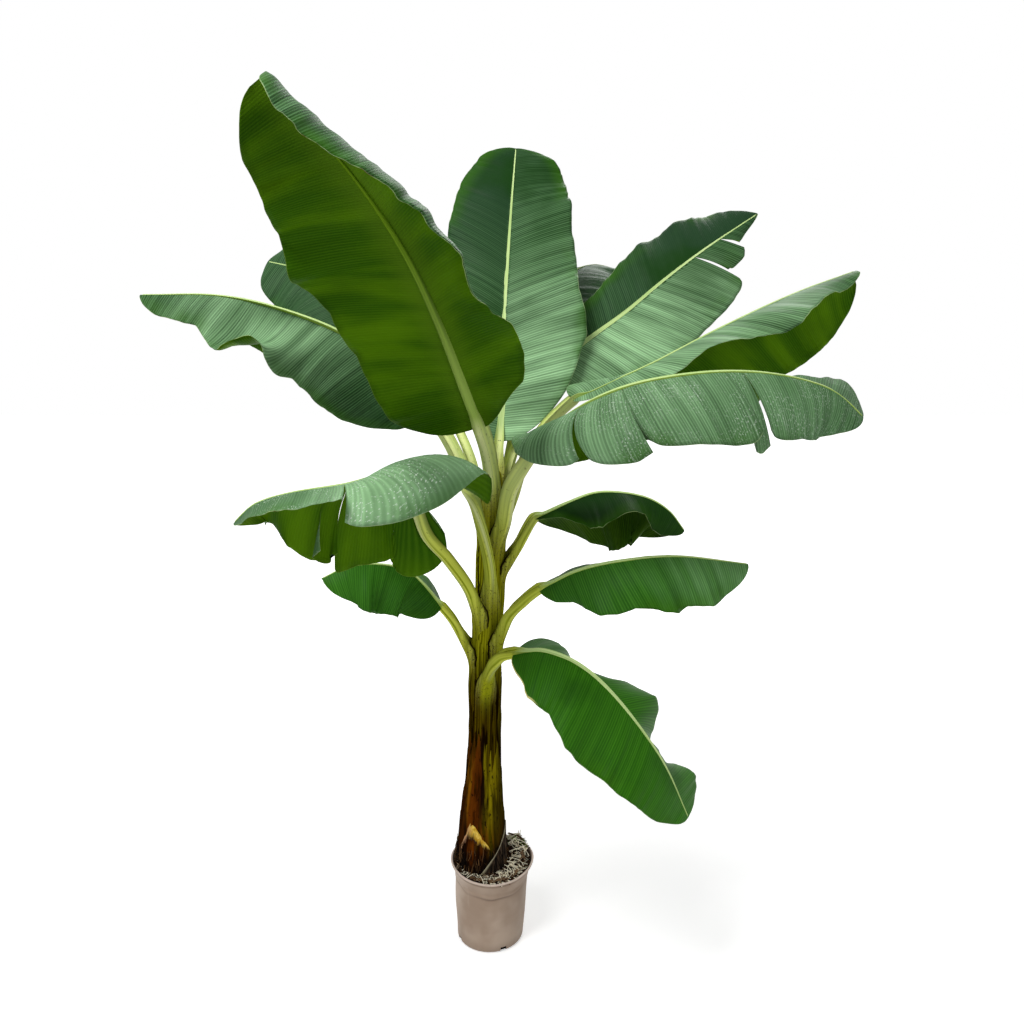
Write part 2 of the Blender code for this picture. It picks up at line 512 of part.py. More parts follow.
def loft(name, sections, parts, colour, roughness=0.45):
    """A closed skin over the sections: an upper side, a lower side that follows it, and a rim.

    Both sides are split into triangles along the same diagonals, so the wall keeps its thickness.
    """
    upper = np.array([points for points, below in sections])
    depths = np.array([below for points, below in sections])
    normal = unit(np.cross(np.gradient(upper, axis=0), np.gradient(upper, axis=1)))
    lower = upper + normal * depths[:, :, None]
    work = bmesh.new()
    above, beneath = ([[work.verts.new(point) for point in row] for row in side] for side in (upper, lower))
    rows, count = depths.shape
    middle = count // 2
    for side in (above, beneath):
        for i in range(rows - 1):
            for j in range(count - 1):
                a, b, c, d = side[i][j], side[i][j + 1], side[i + 1][j + 1], side[i + 1][j]
                corners = (a, b, c), (a, c, d)
                if j < middle:
                    corners = (b, c, d), (b, d, a)
                for triangle in corners:
                    work.faces.new(triangle)
    rim = [(0, j) for j in range(count)] + [(i, count - 1) for i in range(1, rows)]
    rim += [(rows - 1, j) for j in range(count - 2, -1, -1)] + [(i, 0) for i in range(rows - 2, 0, -1)]
    for (i, j), (k, m) in zip(rim, rim[1:] + rim[:1]):
        work.faces.new((above[i][j], above[k][m], beneath[k][m], beneath[i][j]))
    bmesh.ops.recalc_face_normals(work, faces=work.faces)
    mesh = bpy.data.meshes.new(name)
    work.to_mesh(mesh)
    work.free()
    item = add_object(name, mesh, parts, colour, roughness)
    shade_round(mesh, 60)
    return item


def add_leaves(parts):
    for leaf in LEAVES:
        loft(leaf.name, leaf_sections(leaf), parts, COLOURS["leaf"])


def add_sheath(name, azimuth, bottom, top, half_width, depth, colour, taper, parts):
    """A curved scale of old leaf base that hugs the stem."""
    turn = math.radians(azimuth)
    out = np.array([math.cos(turn), math.sin(turn), 0])
    heights = np.linspace(bottom, top, 6)
    seats = np.array([np.array([lean(z), 0, z]) + out * (stem_radius(z) + SEAT) for z in heights])
    along = unit(np.gradient(seats, axis=0))
    sections = []
    for i, z in enumerate(heights):
        share = i / (len(heights) - 1)
        width = half_width * (1 - (1 - taper) * share)
        curl = math.degrees(width / (stem_radius(z) + SEAT))
        arm = (*half_section(width, SHEATH_STEPS, 0, curl), np.zeros(ACROSS + 1))
        depths = depth * SHEATH_DEPTHS + 1.5 * EDGE
        sections.append(section(seats[i], along[i], -out, arm, arm, depths))
    loft(name, sections, parts, COLOURS[colour], 0.7)


def add_bark(parts):
    for i, (distance, angle, turn, length, width) in enumerate(BARK, 1):
        bpy.ops.mesh.primitive_cube_add(size=1)
        strip = bpy.context.active_object
        strip.name = f"bark_strip_{i}"
        strip.data.name = strip.name
        for owner in list(strip.users_collection):
            owner.objects.unlink(strip)
        parts.objects.link(strip)
        place = math.radians(angle)
        for vertex in strip.data.vertices:
            vertex.co.x *= length
            vertex.co.y *= width * (1 - BARK_TAPER * (vertex.co.x > 0))
            vertex.co.z *= BARK_THICKNESS
        strip.location = (distance * math.cos(place), distance * math.sin(place),
                          SOIL_TOP + CLEARANCE + BARK_THICKNESS / 2)
        strip.rotation_euler.z = math.radians(turn)
        bevel = strip.modifiers.new("edges", "BEVEL")
        bevel.width = 0.0008
        bevel.segments = 1
        strip.data.materials.append(material(strip.name, COLOURS["bark"], 0.85))


clear_scene()
plant = new_collection("potted_banana_plant")
tools = new_collection("cutters")
add_pot(plant, tools)
add_soil(plant, tools)
add_pseudostem(plant)
add_leaves(plant)
for name, sizes in OLD_BASES.items():
    add_sheath(name, *sizes, plant)
add_bark(plant)
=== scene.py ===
import math
from collections import namedtuple

import bmesh
import bpy
import numpy as np
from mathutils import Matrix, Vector


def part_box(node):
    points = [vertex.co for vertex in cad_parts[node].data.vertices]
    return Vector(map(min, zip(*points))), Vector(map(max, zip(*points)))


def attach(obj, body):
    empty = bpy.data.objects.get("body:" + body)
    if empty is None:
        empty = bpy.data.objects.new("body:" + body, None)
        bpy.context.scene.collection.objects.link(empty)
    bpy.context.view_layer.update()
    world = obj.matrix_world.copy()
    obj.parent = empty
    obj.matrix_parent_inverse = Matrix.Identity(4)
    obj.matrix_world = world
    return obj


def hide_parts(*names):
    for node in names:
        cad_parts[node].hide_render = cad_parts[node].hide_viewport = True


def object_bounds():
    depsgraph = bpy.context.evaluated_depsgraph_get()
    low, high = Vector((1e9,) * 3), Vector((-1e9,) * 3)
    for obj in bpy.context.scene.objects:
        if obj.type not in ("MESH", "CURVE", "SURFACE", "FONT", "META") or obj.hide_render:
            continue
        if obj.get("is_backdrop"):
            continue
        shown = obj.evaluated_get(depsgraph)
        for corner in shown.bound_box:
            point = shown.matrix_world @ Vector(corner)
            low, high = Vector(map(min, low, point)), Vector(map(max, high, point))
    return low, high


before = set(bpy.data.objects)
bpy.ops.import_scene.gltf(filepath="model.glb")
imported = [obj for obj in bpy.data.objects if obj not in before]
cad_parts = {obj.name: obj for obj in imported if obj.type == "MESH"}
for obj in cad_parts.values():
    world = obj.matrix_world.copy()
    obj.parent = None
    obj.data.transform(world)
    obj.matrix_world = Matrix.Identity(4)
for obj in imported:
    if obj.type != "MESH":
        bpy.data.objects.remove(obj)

cad_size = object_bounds()


# ---- Pot ----------------------------------------------------------------------------------
# A thin nursery pot, blow-moulded in taupe plastic. It has a rolled lip, a stiffer band below
# it and a rounded foot with drain slots. The wall is a little dented, as such pots are.

class Wire:
    """A node's socket. Arithmetic on it adds Math nodes to its tree."""
    def __init__(self, tree, socket):
        self.tree = tree
        self.socket = socket

    def maths(self, operation, first, second=None, clamp=False):
        settings = dict(operation=operation, use_clamp=clamp)
        return self.tree.node("ShaderNodeMath", settings, [first, second])

    def __add__(self, other):
        return self.maths("ADD", self, other)

    def __radd__(self, other):
        return self.maths("ADD", other, self)

    def __sub__(self, other):
        return self.maths("SUBTRACT", self, other)

    def __rsub__(self, other):
        return self.maths("SUBTRACT", other, self)

    def __mul__(self, other):
        return self.maths("MULTIPLY", self, other)

    def __rmul__(self, other):
        return self.maths("MULTIPLY", other, self)

    def __truediv__(self, other):
        return self.maths("DIVIDE", self, other)

    def __pow__(self, other):
        return self.maths("POWER", self, other)

    def sine(self):
        return self.maths("SINE", self)

    def size(self):
        return self.maths("ABSOLUTE", self)

    def share(self):
        """The value held between 0 and 1."""
        return self.maths("ADD", self, 0.0, clamp=True)

    def step(self, low, high):
        """0 below low, 1 above high, and smooth between."""
        settings = dict(interpolation_type="SMOOTHSTEP")
        return self.tree.node("ShaderNodeMapRange", settings, [self, low, high])


class Tree:
    """A node tree that is wired by calls."""
    def __init__(self, tree):
        self.tree = tree

    def node(self, kind, settings=(), values=(), output=0):
        """A node from its type, its settings, and the values or wires of its sockets."""
        item = self.tree.nodes.new(kind)
        for key, value in dict(settings).items():
            setattr(item, key, value)
        for key, value in values.items() if isinstance(values, dict) else enumerate(values):
            if isinstance(value, Wire):
                self.tree.links.new(value.socket, item.inputs[key])
            elif value is not None:
                item.inputs[key].default_value = value
        return Wire(self, item.outputs[output])


class Finish(Tree):
    """A material: one Principled shader and what varies over the surface."""
    def __init__(self, name, **constants):
        self.material = bpy.data.materials.new(name)
        self.material.use_nodes = True
        super().__init__(self.material.node_tree)
        self.shader = self.tree.nodes["Principled BSDF"]
        for key, value in constants.items():
            self.shader.inputs[key.replace("_", " ")].default_value = value

    def feed(self, socket, wire):
        self.tree.links.new(wire.socket, self.shader.inputs[socket])

    def place(self):
        """Object coordinates, as one vector."""
        return self.node("ShaderNodeTexCoord", output="Object")

    def axes(self, vector):
        """A vector's three parts."""
        first = self.node("ShaderNodeSeparateXYZ", values=[vector])
        return [Wire(self, output) for output in first.socket.node.outputs]

    def attribute(self, name):
        return self.node("ShaderNodeAttribute", dict(attribute_name=name), output="Fac")

    def noise(self, vector, scale, detail=2.0, rough=0.5):
        values = {"Vector": vector, "Scale": scale, "Detail": detail, "Roughness": rough}
        return self.node("ShaderNodeTexNoise", values=values)

    def grain(self, x, y, z, detail=2.0, rough=0.5):
        """Noise that is stretched, because its three coordinates are scaled apart."""
        return self.noise(self.node("ShaderNodeCombineXYZ", values=[x, y, z]), 1.0, detail, rough)

    def mix(self, share, first, second):
        """From the first colour to the second."""
        settings = dict(data_type="RGBA", clamp_factor=True)
        return self.node("ShaderNodeMix", settings, {0: share, 6: first, 7: second}, output=2)

    def bump(self, height, distance):
        values = {"Strength": 1.0, "Distance": distance, "Height": height}
        self.feed("Normal", self.node("ShaderNodeBump", values=values))


def tint(red, green, blue):
    """A display colour, 0 to 255, as a shader colour."""
    parts = [value / 255 for value in (red, green, blue)]
    return tuple([v / 12.92 if v <= 0.04045 else ((v + 0.055) / 1.055) ** 2.4 for v in parts] + [1.0])


def make_piece(name, points, faces, finishes):
    """A mesh object from arrays of points and faces."""
    mesh = bpy.data.meshes.new(name)
    points = np.asarray(points).reshape(-1, 3).tolist()
    mesh.from_pydata(points, [], [list(map(int, face)) for face in faces])
    for finish in finishes:
        mesh.materials.append(finish.material)
    mesh.shade_smooth()
    piece = bpy.data.objects.new(name, mesh)
    bpy.context.scene.collection.objects.link(piece)
    return piece


def grid_faces(rows, columns, closed=False):
    """Quads over points that lie row by row. A closed grid joins its last column to its first."""
    i, j = np.indices((rows - 1, columns if closed else columns - 1))
    k = (j + 1) % columns
    here, ahead = i * columns, (i + 1) * columns
    return np.stack([here + j, here + k, ahead + k, ahead + j], -1).reshape(-1, 4)


def set_values(mesh, name, values):
    """Give each point a value for its finish."""
    values = np.ascontiguousarray(values, float).ravel()
    mesh.attributes.new(name, "FLOAT", "POINT").data.foreach_set("value", values)


MERGE_DISTANCE = 0.00002


def tidy(piece, outwards=True):
    """Merge doubled points, and point the faces outwards."""
    work = bmesh.new()
    work.from_mesh(piece.data)
    bmesh.ops.remove_doubles(work, verts=work.verts, dist=MERGE_DISTANCE)
    bmesh.ops.dissolve_degenerate(work, edges=work.edges, dist=MERGE_DISTANCE / 4)
    if outwards:
        bmesh.ops.recalc_face_normals(work, faces=work.faces)
    work.to_mesh(piece.data)
    work.free()


def bake_modifiers(piece):
    """Put the modified shape in the piece's mesh."""
    graph = bpy.context.evaluated_depsgraph_get()
    mesh = bpy.data.meshes.new_from_object(piece.evaluated_get(graph))
    piece.modifiers.clear()
    piece.data = mesh


def ease(values):
    """0 below 0, 1 above 1, and smooth between."""
    held = np.clip(values, 0, 1)
    return held * held * (3 - 2 * held)


POT_RIM, _, POT_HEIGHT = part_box("pot")[1]
POT_FOOT = 0.084
POT_CORNER = 0.008
POT_WALL = 0.002
LIP = 0.0035                # how far the lip stands out from the wall
LIP_TALL = 0.0060
LIP_ROUND = 0.0026          # half the lip's thickness
BAND = 0.034                # height of the stiffer band, with the lip
# The wall below the lip: height and outer radius
POT_OUTLINE = [(POT_CORNER, POT_FOOT), (0.100, 0.0885), (POT_HEIGHT - BAND - 0.005, 0.0915),
               (POT_HEIGHT - BAND + 0.003, 0.0940), (POT_HEIGHT - LIP_TALL, POT_RIM - LIP)]
POT_TURNS = 160
POT_LEAN = 0.006            # how far the soft pot's foot has shifted sideways
POT_DIP = 0.012             # how far its rim has sunk at the front
# Dents that run round the wall: depth, how many, where they start, and how they wind upwards
DENTS = [(0.0011, 2, 0.6, 0), (0.0008, 3, 2, 5), (0.0006, 5, 0, 7), (0.0004, 11, 0, -6)]
DENTED_FROM = 0.06          # the radius beyond which the pot is all wall, and dented
DENT_INSET = 0.0006         # keeps the dents' crests inside the size it was made to
CREASE_LEVEL = 0.163        # the crease pressed in under the band at the front
CREASE_DEPTH = 0.0014
CREASE_TALL = 0.0030
FOLD_OUT = 0.0022           # how far the wall bulges above the crease
DRAIN_SLOTS = 4
DRAIN_TURN = -65.0          # where the first slot sits, in degrees from +X
DRAIN_SLOT = (0.020, 0.016, 0.013)      # a slot's size outwards, across and upwards
DRAIN_INSET = 0.003         # how far inside the foot's edge a slot's middle lies

plastic = Finish("taupe_plastic", Roughness=0.5, Specular_IOR_Level=0.2)
place = plastic.place()
height = plastic.axes(place)[2]
cloud = plastic.noise(place, 9.0, 3.0)
fine = plastic.noise(place, 420.0, 2.0)
stretched = plastic.node("ShaderNodeMapping", values={"Vector": place, "Scale": (60, 60, 7)})
scuff = plastic.noise(stretched, 1.0, 4.0)
colour = plastic.mix(cloud.step(0.32, 0.68), tint(163, 141, 122), tint(194, 174, 156))
colour = plastic.mix(scuff.step(0.60, 0.85) * 0.5, colour, tint(214, 199, 183))
damp = (1 - height.step(0.0, 0.035)) * cloud.step(0.3, 0.6) * 0.5
colour = plastic.mix(damp, colour, tint(132, 112, 96))
level = plastic.attribute("level")
smear = level.step(POT_HEIGHT - 0.012, POT_HEIGHT) * plastic.noise(place, 70.0, 3.0).step(0.52, 0.66)
colour = plastic.mix(smear * 0.7, colour, tint(88, 70, 54))
# Painted shade: the +X side, turned away from the key lamp, is darker
shaded_side = plastic.axes(place)[0].step(-0.02, 0.10) * 0.45
colour = plastic.mix(shaded_side, colour, tint(120, 101, 84))
# Painted shadow in a band under the rolled lip, varied by the scuffs
under_lip = (level - POT_HEIGHT + 0.0095).size()
lip_shadow = (1 - under_lip.step(0.001, 0.005)) * (0.25 + scuff * 0.4)
colour = plastic.mix(lip_shadow, colour, tint(104, 86, 70))
# A painted highlight along the top of the rolled lip, varied by the scuffs
lip_highlight = level.step(POT_HEIGHT - 0.0045, POT_HEIGHT - 0.0020) * (0.3 + scuff * 0.8)
colour = plastic.mix(lip_highlight.share(), colour, tint(226, 208, 196))
# Painted shade in the crease under the band
colour = plastic.mix(plastic.attribute("crease") * 0.55, colour, tint(98, 80, 66))
plastic.feed("Base Color", colour)
plastic.feed("Roughness", 0.42 + 0.2 * scuff)
plastic.bump(fine * 0.3 + scuff * 0.4 + cloud, 0.0006)


def pot_wall(height):
    """The wall's outer radius."""
    return float(np.interp(height, *zip(*POT_OUTLINE)))


def pot_dip(x, y, height):
    """How far the soft wall has sunk here."""
    front = np.clip(-y / np.maximum(np.hypot(x, y), 0.001), 0, 1)
    return POT_DIP * ease(height / POT_HEIGHT) * front ** 1.5


def pot_outline():
    """Radius and height from the middle of the underside, up the outside, and down the inside."""
    foot = [(POT_FOOT - POT_CORNER * (1 - math.sin(a)), POT_CORNER * (1 - math.cos(a)))
            for a in np.linspace(0, math.pi / 2, 8)]
    wall = [(pot_wall(z), z)
            for z in np.linspace(POT_CORNER + 0.003, POT_HEIGHT - LIP_TALL - 0.0015, 70)]
    lip = [(POT_RIM - LIP_ROUND * (1 - math.cos(a)), POT_HEIGHT - LIP_TALL / 2 * (1 - math.sin(a)))
           for a in np.linspace(-math.pi / 2, math.pi * 0.9, 12)]
    inside = [(pot_wall(z) - POT_WALL, z)
              for z in np.linspace(POT_HEIGHT - LIP_TALL, POT_WALL + POT_CORNER, 24)]
    base = [(POT_FOOT - POT_CORNER - POT_WALL, POT_WALL), (0.0, POT_WALL)]
    return np.array([(0.0, 0.0), (POT_FOOT * 0.5, 0.0)] + foot + wall + lip + inside + base)


def cut_drain_slots(pot):
    """Slots through the edge of the foot, cut by boxes that are then taken away."""
    reach = POT_FOOT - DRAIN_INSET
    for i in range(DRAIN_SLOTS):
        angle = 2 * math.pi * i / DRAIN_SLOTS + math.radians(DRAIN_TURN)
        middle = (reach * math.cos(angle) - POT_LEAN, reach * math.sin(angle), DRAIN_SLOT[2] / 2)
        bpy.ops.mesh.primitive_cube_add(size=1, rotation=(0, 0, angle), location=middle)
        slot = bpy.context.active_object
        slot.scale = DRAIN_SLOT
        cut = pot.modifiers.new("slot", "BOOLEAN")
        cut.operation = "DIFFERENCE"
        cut.object = slot
    cutters = [cut.object for cut in pot.modifiers]
    bake_modifiers(pot)
    for slot in cutters:
        bpy.data.objects.remove(slot)


def add_pot():
    outline = pot_outline()
    turn = np.linspace(0, 2 * math.pi, POT_TURNS, endpoint=False)
    radius, z = outline[:, :1], outline[:, 1:]
    share = np.clip(z / POT_HEIGHT, 0, 1)
    dent = sum(depth * np.sin(lobes * turn + start + wind * share) for depth, lobes, start, wind in DENTS)
    dent = dent * np.sin(math.pi * share * 0.93)
    front = -np.sin(turn)
    sag = CREASE_LEVEL + 0.007 * (1 - front) + 0.0015 * np.sin(9 * turn)
    fold = np.clip(0.75 + 0.4 * np.sin(4 * turn + 1), 0, 1) * np.clip(1.4 * front + 0.6, 0, 1)
    crease = np.exp(-((z - sag) / CREASE_TALL) ** 2) * fold
    bulge = np.exp(-((z - sag - 0.007) / 0.004) ** 2) * fold
    dent = dent - CREASE_DEPTH * crease + FOLD_OUT * bulge
    radius = radius + np.where(radius > DENTED_FROM, dent - DENT_INSET, 0)
    across = radius * np.cos(turn) - POT_LEAN * (1 - share)
    outwards = radius * np.sin(turn)
    points = np.stack([across, outwards, z - pot_dip(across, outwards, z)], -1)
    faces = grid_faces(len(outline), POT_TURNS, closed=True)
    pot = make_piece("nursery_pot", points, faces, [plastic])
    set_values(pot.data, "crease", crease)
    set_values(pot.data, "level", np.broadcast_to(z, crease.shape))
    tidy(pot)
    cut_drain_slots(pot)
    pot.data.shade_smooth()
    pot.data.set_sharp_from_angle(angle=math.radians(50))
    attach(pot, "root")
    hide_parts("pot")


add_pot()


# ---- Soil ---------------------------------------------------------------------------------
# Dark potting compost fills the pot. It is heaped at the back right, where moss grows, and
# covered with a loose litter of pale straw, dead roots, bark chips and dry leaf fibre.

SOIL_LEVEL = 0.2065
SOIL_EDGE = 0.0012          # gap between the soil and the pot's wall
SOIL_RINGS = 60
SOIL_TURNS = 120
SOIL_STEPS = 26             # rings down its side
SOIL_SIDE = 0.200           # height of the uppermost of them
LITTER_LIFT = 0.0006        # litter starts this far above the soil
MOSS_STEPS = 14
HEAP = 0.036                # height of the heap at the back right
HEAP_PLACE = (0.060, 0.038)
HEAP_REACH = (0.036, 0.040)


def soil_height(x, y):
    """The compost's surface: lumpy, heaped at the back right, and sunk where the rim has sunk."""
    heap = HEAP * np.exp(-((x - HEAP_PLACE[0]) / HEAP_REACH[0]) ** 2
                         - ((y - HEAP_PLACE[1]) / HEAP_REACH[1]) ** 2)
    left = 0.005 * np.exp(-((x + 0.085) / 0.03) ** 2)
    lumps = (0.0016 * np.sin(95 * x + 1) * np.sin(80 * y + 2) + 0.0010 * np.sin(210 * x + 140 * y)
             + 0.0007 * np.sin(330 * y - 260 * x + 1))
    away = np.hypot(x, y)
    rim = np.clip((away - 0.088) / 0.010, 0, 1)
    sunk = pot_dip(x, y, POT_HEIGHT) * np.clip((away - 0.03) / 0.065, 0, 1)
    return SOIL_LEVEL + (heap + left) * (1 - 0.75 * rim ** 2) + lumps * (1 - rim) - sunk


compost = Finish("compost", Roughness=0.95, Specular_IOR_Level=0.05)
place = compost.place()
crumbs = compost.noise(place, 300.0, 4.0, 0.7)
damp = compost.noise(place, 40.0, 3.0)
colour = compost.mix(crumbs.step(0.40, 0.66), tint(14, 8, 5), tint(76, 56, 40))
colour = compost.mix(damp.step(0.45, 0.65) * 0.6, colour, tint(30, 20, 14))
# Painted shade: near-black low down, where the compost shows through the drain slots
painted_shade_below = 1 - compost.axes(place)[2].step(0.02, 0.05)
compost.feed("Base Color", compost.mix(painted_shade_below, colour, tint(2, 2, 1)))
compost.bump(crumbs, 0.003)

straw = Finish("straw_and_roots", Roughness=0.8, Specular_IOR_Level=0.05)
shade = straw.attribute("shade")
grain = straw.noise(straw.place(), 500.0, 2.0)
colour = straw.mix(shade.step(0.15, 0.35), tint(58, 38, 26), tint(204, 180, 146))
colour = straw.mix(shade.step(0.28, 0.46), colour, tint(255, 247, 222))
colour = straw.mix(grain.step(0.5, 0.75) * 0.25, colour, tint(96, 72, 50))
straw.feed("Base Color", colour)
straw.bump(grain, 0.0006)

moss = Finish("moss", Roughness=0.9, Specular_IOR_Level=0.05)
shade = moss.attribute("shade")
moss.feed("Base Color", moss.mix(shade.step(0.1, 0.9), tint(40, 78, 14), tint(132, 164, 60)))

fibre_finish = Finish("dead_fibre", Roughness=0.9, Specular_IOR_Level=0.05)
shade = fibre_finish.attribute("shade")
colour = fibre_finish.mix(shade.step(0.55, 1.0), tint(14, 9, 7), tint(118, 86, 54))
fibre_finish.feed("Base Color", colour)


def strand_tree():
    """Geometry Nodes that strew bent, tapered strands over a mesh."""
    tree = bpy.data.node_groups.new("strands", "GeometryNodeTree")
    tree.interface.new_socket("Ground", in_out="INPUT", socket_type="NodeSocketGeometry")
    for name in ("Density", "Length", "Girth", "Bend", "Scatter", "Lift"):
        tree.interface.new_socket(name, in_out="INPUT", socket_type="NodeSocketFloat")
    tree.interface.new_socket("Heading", in_out="INPUT", socket_type="NodeSocketVector")
    tree.interface.new_socket("Seed", in_out="INPUT", socket_type="NodeSocketInt")
    tree.interface.new_socket("Finish", in_out="INPUT", socket_type="NodeSocketMaterial")
    tree.interface.new_socket("Strands", in_out="OUTPUT", socket_type="NodeSocketGeometry")
    nodes = Tree(tree)
    source = tree.nodes.new("NodeGroupInput")
    given = {socket.name: Wire(nodes, socket) for socket in source.outputs if socket.name}

    def chance(kind, values, salt):
        values = {**values, "Seed": given["Seed"] + salt}
        return nodes.node("FunctionNodeRandomValue", dict(data_type=kind), values,
                          output=0 if kind == "FLOAT_VECTOR" else 1)

    def vectors(operation, first, second):
        return nodes.node("ShaderNodeVectorMath", dict(operation=operation), [first, second])

    bent = nodes.node("ShaderNodeCombineXYZ", values=[0.0, given["Bend"], given["Bend"] * 0.4])
    curve = nodes.node("GeometryNodeCurveQuadraticBezier",
                       values={"Resolution": 5, "Start": (-0.5, 0, 0), "Middle": bent, "End": (0.5, 0, 0)})
    along = nodes.node("GeometryNodeSplineParameter")
    curve = nodes.node("GeometryNodeSetCurveRadius",
                       values={"Curve": curve, "Radius": 1 - along * along * 0.7})
    profile = nodes.node("GeometryNodeCurvePrimitiveCircle",
                         values={"Resolution": 4, "Radius": given["Girth"] / given["Length"]})
    strand = nodes.node("GeometryNodeCurveToMesh",
                        values={"Curve": curve, "Profile Curve": profile, "Fill Caps": True})
    spots = nodes.node("GeometryNodeDistributePointsOnFaces", dict(distribute_method="RANDOM"),
                       {"Mesh": given["Ground"], "Density": given["Density"], "Seed": given["Seed"]})
    normal = Wire(nodes, spots.socket.node.outputs["Normal"])
    stray = chance("FLOAT_VECTOR", {0: (-1, -1, -0.15), 1: (1, 1, 0.15)}, 1)
    heading = vectors("ADD", given["Heading"], vectors("MULTIPLY", stray, given["Scatter"]))
    heading = vectors("ADD", heading, vectors("MULTIPLY", normal, given["Lift"]))
    aimed = nodes.node("FunctionNodeAlignRotationToVector", dict(axis="X"), {"Vector": heading})
    roll = chance("FLOAT_VECTOR", {0: (0, 0, 0), 1: (6.28, 0, 0)}, 2)
    aimed = nodes.node("FunctionNodeRotateRotation", dict(rotation_space="LOCAL"),
                       {"Rotation": aimed, "Rotate By": roll})
    size = given["Length"] * chance("FLOAT", {2: 0.4, 3: 1.3}, 3)
    strewn = nodes.node("GeometryNodeInstanceOnPoints",
                        values={"Points": spots, "Instance": strand, "Rotation": aimed, "Scale": size})
    shade = chance("FLOAT", {2: 0.0, 3: 1.0}, 4)
    strewn = nodes.node("GeometryNodeStoreNamedAttribute", dict(data_type="FLOAT", domain="INSTANCE"),
                        {"Geometry": strewn, "Name": "shade", "Value": shade})
    strewn = nodes.node("GeometryNodeRealizeInstances", values={"Geometry": strewn})
    strewn = nodes.node("GeometryNodeSetMaterial",
                        values={"Geometry": strewn, "Material": given["Finish"]})
    tree.links.new(strewn.socket, tree.nodes.new("NodeGroupOutput").inputs[0])
    return tree


STRANDS = strand_tree()


def strew(name, ground, finish, slot, **sizes):
    """A piece made of strands strewn over a ground of (points, faces)."""
    piece = make_piece(name, *ground, [])
    growth = piece.modifiers.new("strands", "NODES")
    growth.node_group = STRANDS
    given = {"Bend": 0.15, "Scatter": 1.0, "Lift": 0.0, "Heading": (0, 0, 0),
             "Finish": finish.material, **sizes}
    for socket in STRANDS.interface.items_tree:
        if socket.in_out == "INPUT" and socket.name in given:
            growth[socket.identifier] = given[socket.name]
    bake_modifiers(piece)
    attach(piece, "root")


def add_soil():
    """The compost. Gives back the points of its surface, ring by ring."""
    turn = np.linspace(0, 2 * math.pi, SOIL_TURNS, endpoint=False)[None]
    gap = POT_WALL + SOIL_EDGE
    ring = np.linspace(0.0, pot_wall(POT_HEIGHT - 0.010) - gap, SOIL_RINGS)[:, None]
    x, y = ring * np.cos(turn), ring * np.sin(turn)
    top = np.stack([x, y, soil_height(x, y)], -1)
    levels = np.linspace(SOIL_SIDE, POT_WALL + 0.003, SOIL_STEPS)
    radius = [pot_wall(max(z, POT_CORNER)) - gap for z in levels] + [0.07, 0.0]
    radius = np.array(radius)[:, None]
    levels = np.r_[levels, [POT_WALL + 0.0005] * 2][:, None]
    shift = -POT_LEAN * (1 - levels / POT_HEIGHT)
    x, y = radius * np.cos(turn) + shift, radius * np.sin(turn)
    side = np.stack([x, y, levels - pot_dip(x, y, levels)], -1)
    faces = grid_faces(SOIL_RINGS + len(side), SOIL_TURNS, closed=True)
    soil = make_piece("compost", np.concatenate([top, side]), faces, [compost])
    tidy(soil)
    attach(soil, "root")
    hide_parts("soil")
    return top


def add_litter(top):
    """Roots, straw and chips over the outer half of the soil, and moss on its heap."""
    ground = top[SOIL_RINGS // 2:-1] + (0, 0, LITTER_LIFT)
    inner = ground[:SOIL_RINGS // 3]
    ground, inner = [(rings, grid_faces(len(rings), SOIL_TURNS, closed=True)) for rings in (ground, inner)]
    strew("litter_roots", ground, fibre_finish, "bark",
          Density=26000.0, Length=0.014, Girth=0.0007, Bend=0.25, Seed=3)
    strew("litter_straw", inner, straw, "bark",
          Density=46000.0, Length=0.036, Girth=0.0009, Bend=0.24, Lift=0.03, Seed=8)
    strew("litter_chips", ground, straw, "bark",
          Density=5000.0, Length=0.011, Girth=0.0014, Bend=0.05, Seed=15)
    x, y = np.meshgrid(np.linspace(0.036, 0.088, MOSS_STEPS), np.linspace(0.020, 0.068, MOSS_STEPS))
    mossy = np.stack([x, y, soil_height(x, y) + 0.001], -1), grid_faces(MOSS_STEPS, MOSS_STEPS)
    strew("moss_tufts", mossy, moss, "soil", Density=180000.0, Length=0.006, Girth=0.0005,
          Bend=0.2, Heading=(0.0, 0.0, 0.9), Scatter=0.9, Seed=21)


add_litter(add_soil())


# ---- Pseudostem ---------------------------------------------------------------------------
# The stem is a roll of leaf sheaths round each other, standing on the corm. Each sheath's two
# edges run up the stem and close in to the stalk of its leaf. The lowest leaves' sheaths lie
# outermost. Old edges are dry and purple-black, and the foot is stained red-brown.

# Each leaf's sheath: azimuth in degrees from +X, and the height where the stalk leaves the stem
SHEATHS = {"tall_left": (-92, 1.10), "centre_upright": (104, 1.15), "upper_right": (54, 1.09),
           "rear_right": (75, 0.97), "long_right": (3, 1.05), "arched_right": (-50, 1.01),
           "rear_left": (150, 1.05), "long_left": (-75, 0.87), "front_left": (-132, 0.83),
           "small_left": (-172, 0.73), "small_right": (0, 0.94), "mid_right": (-35, 0.76),
           "low_right": (-85, 0.66)}
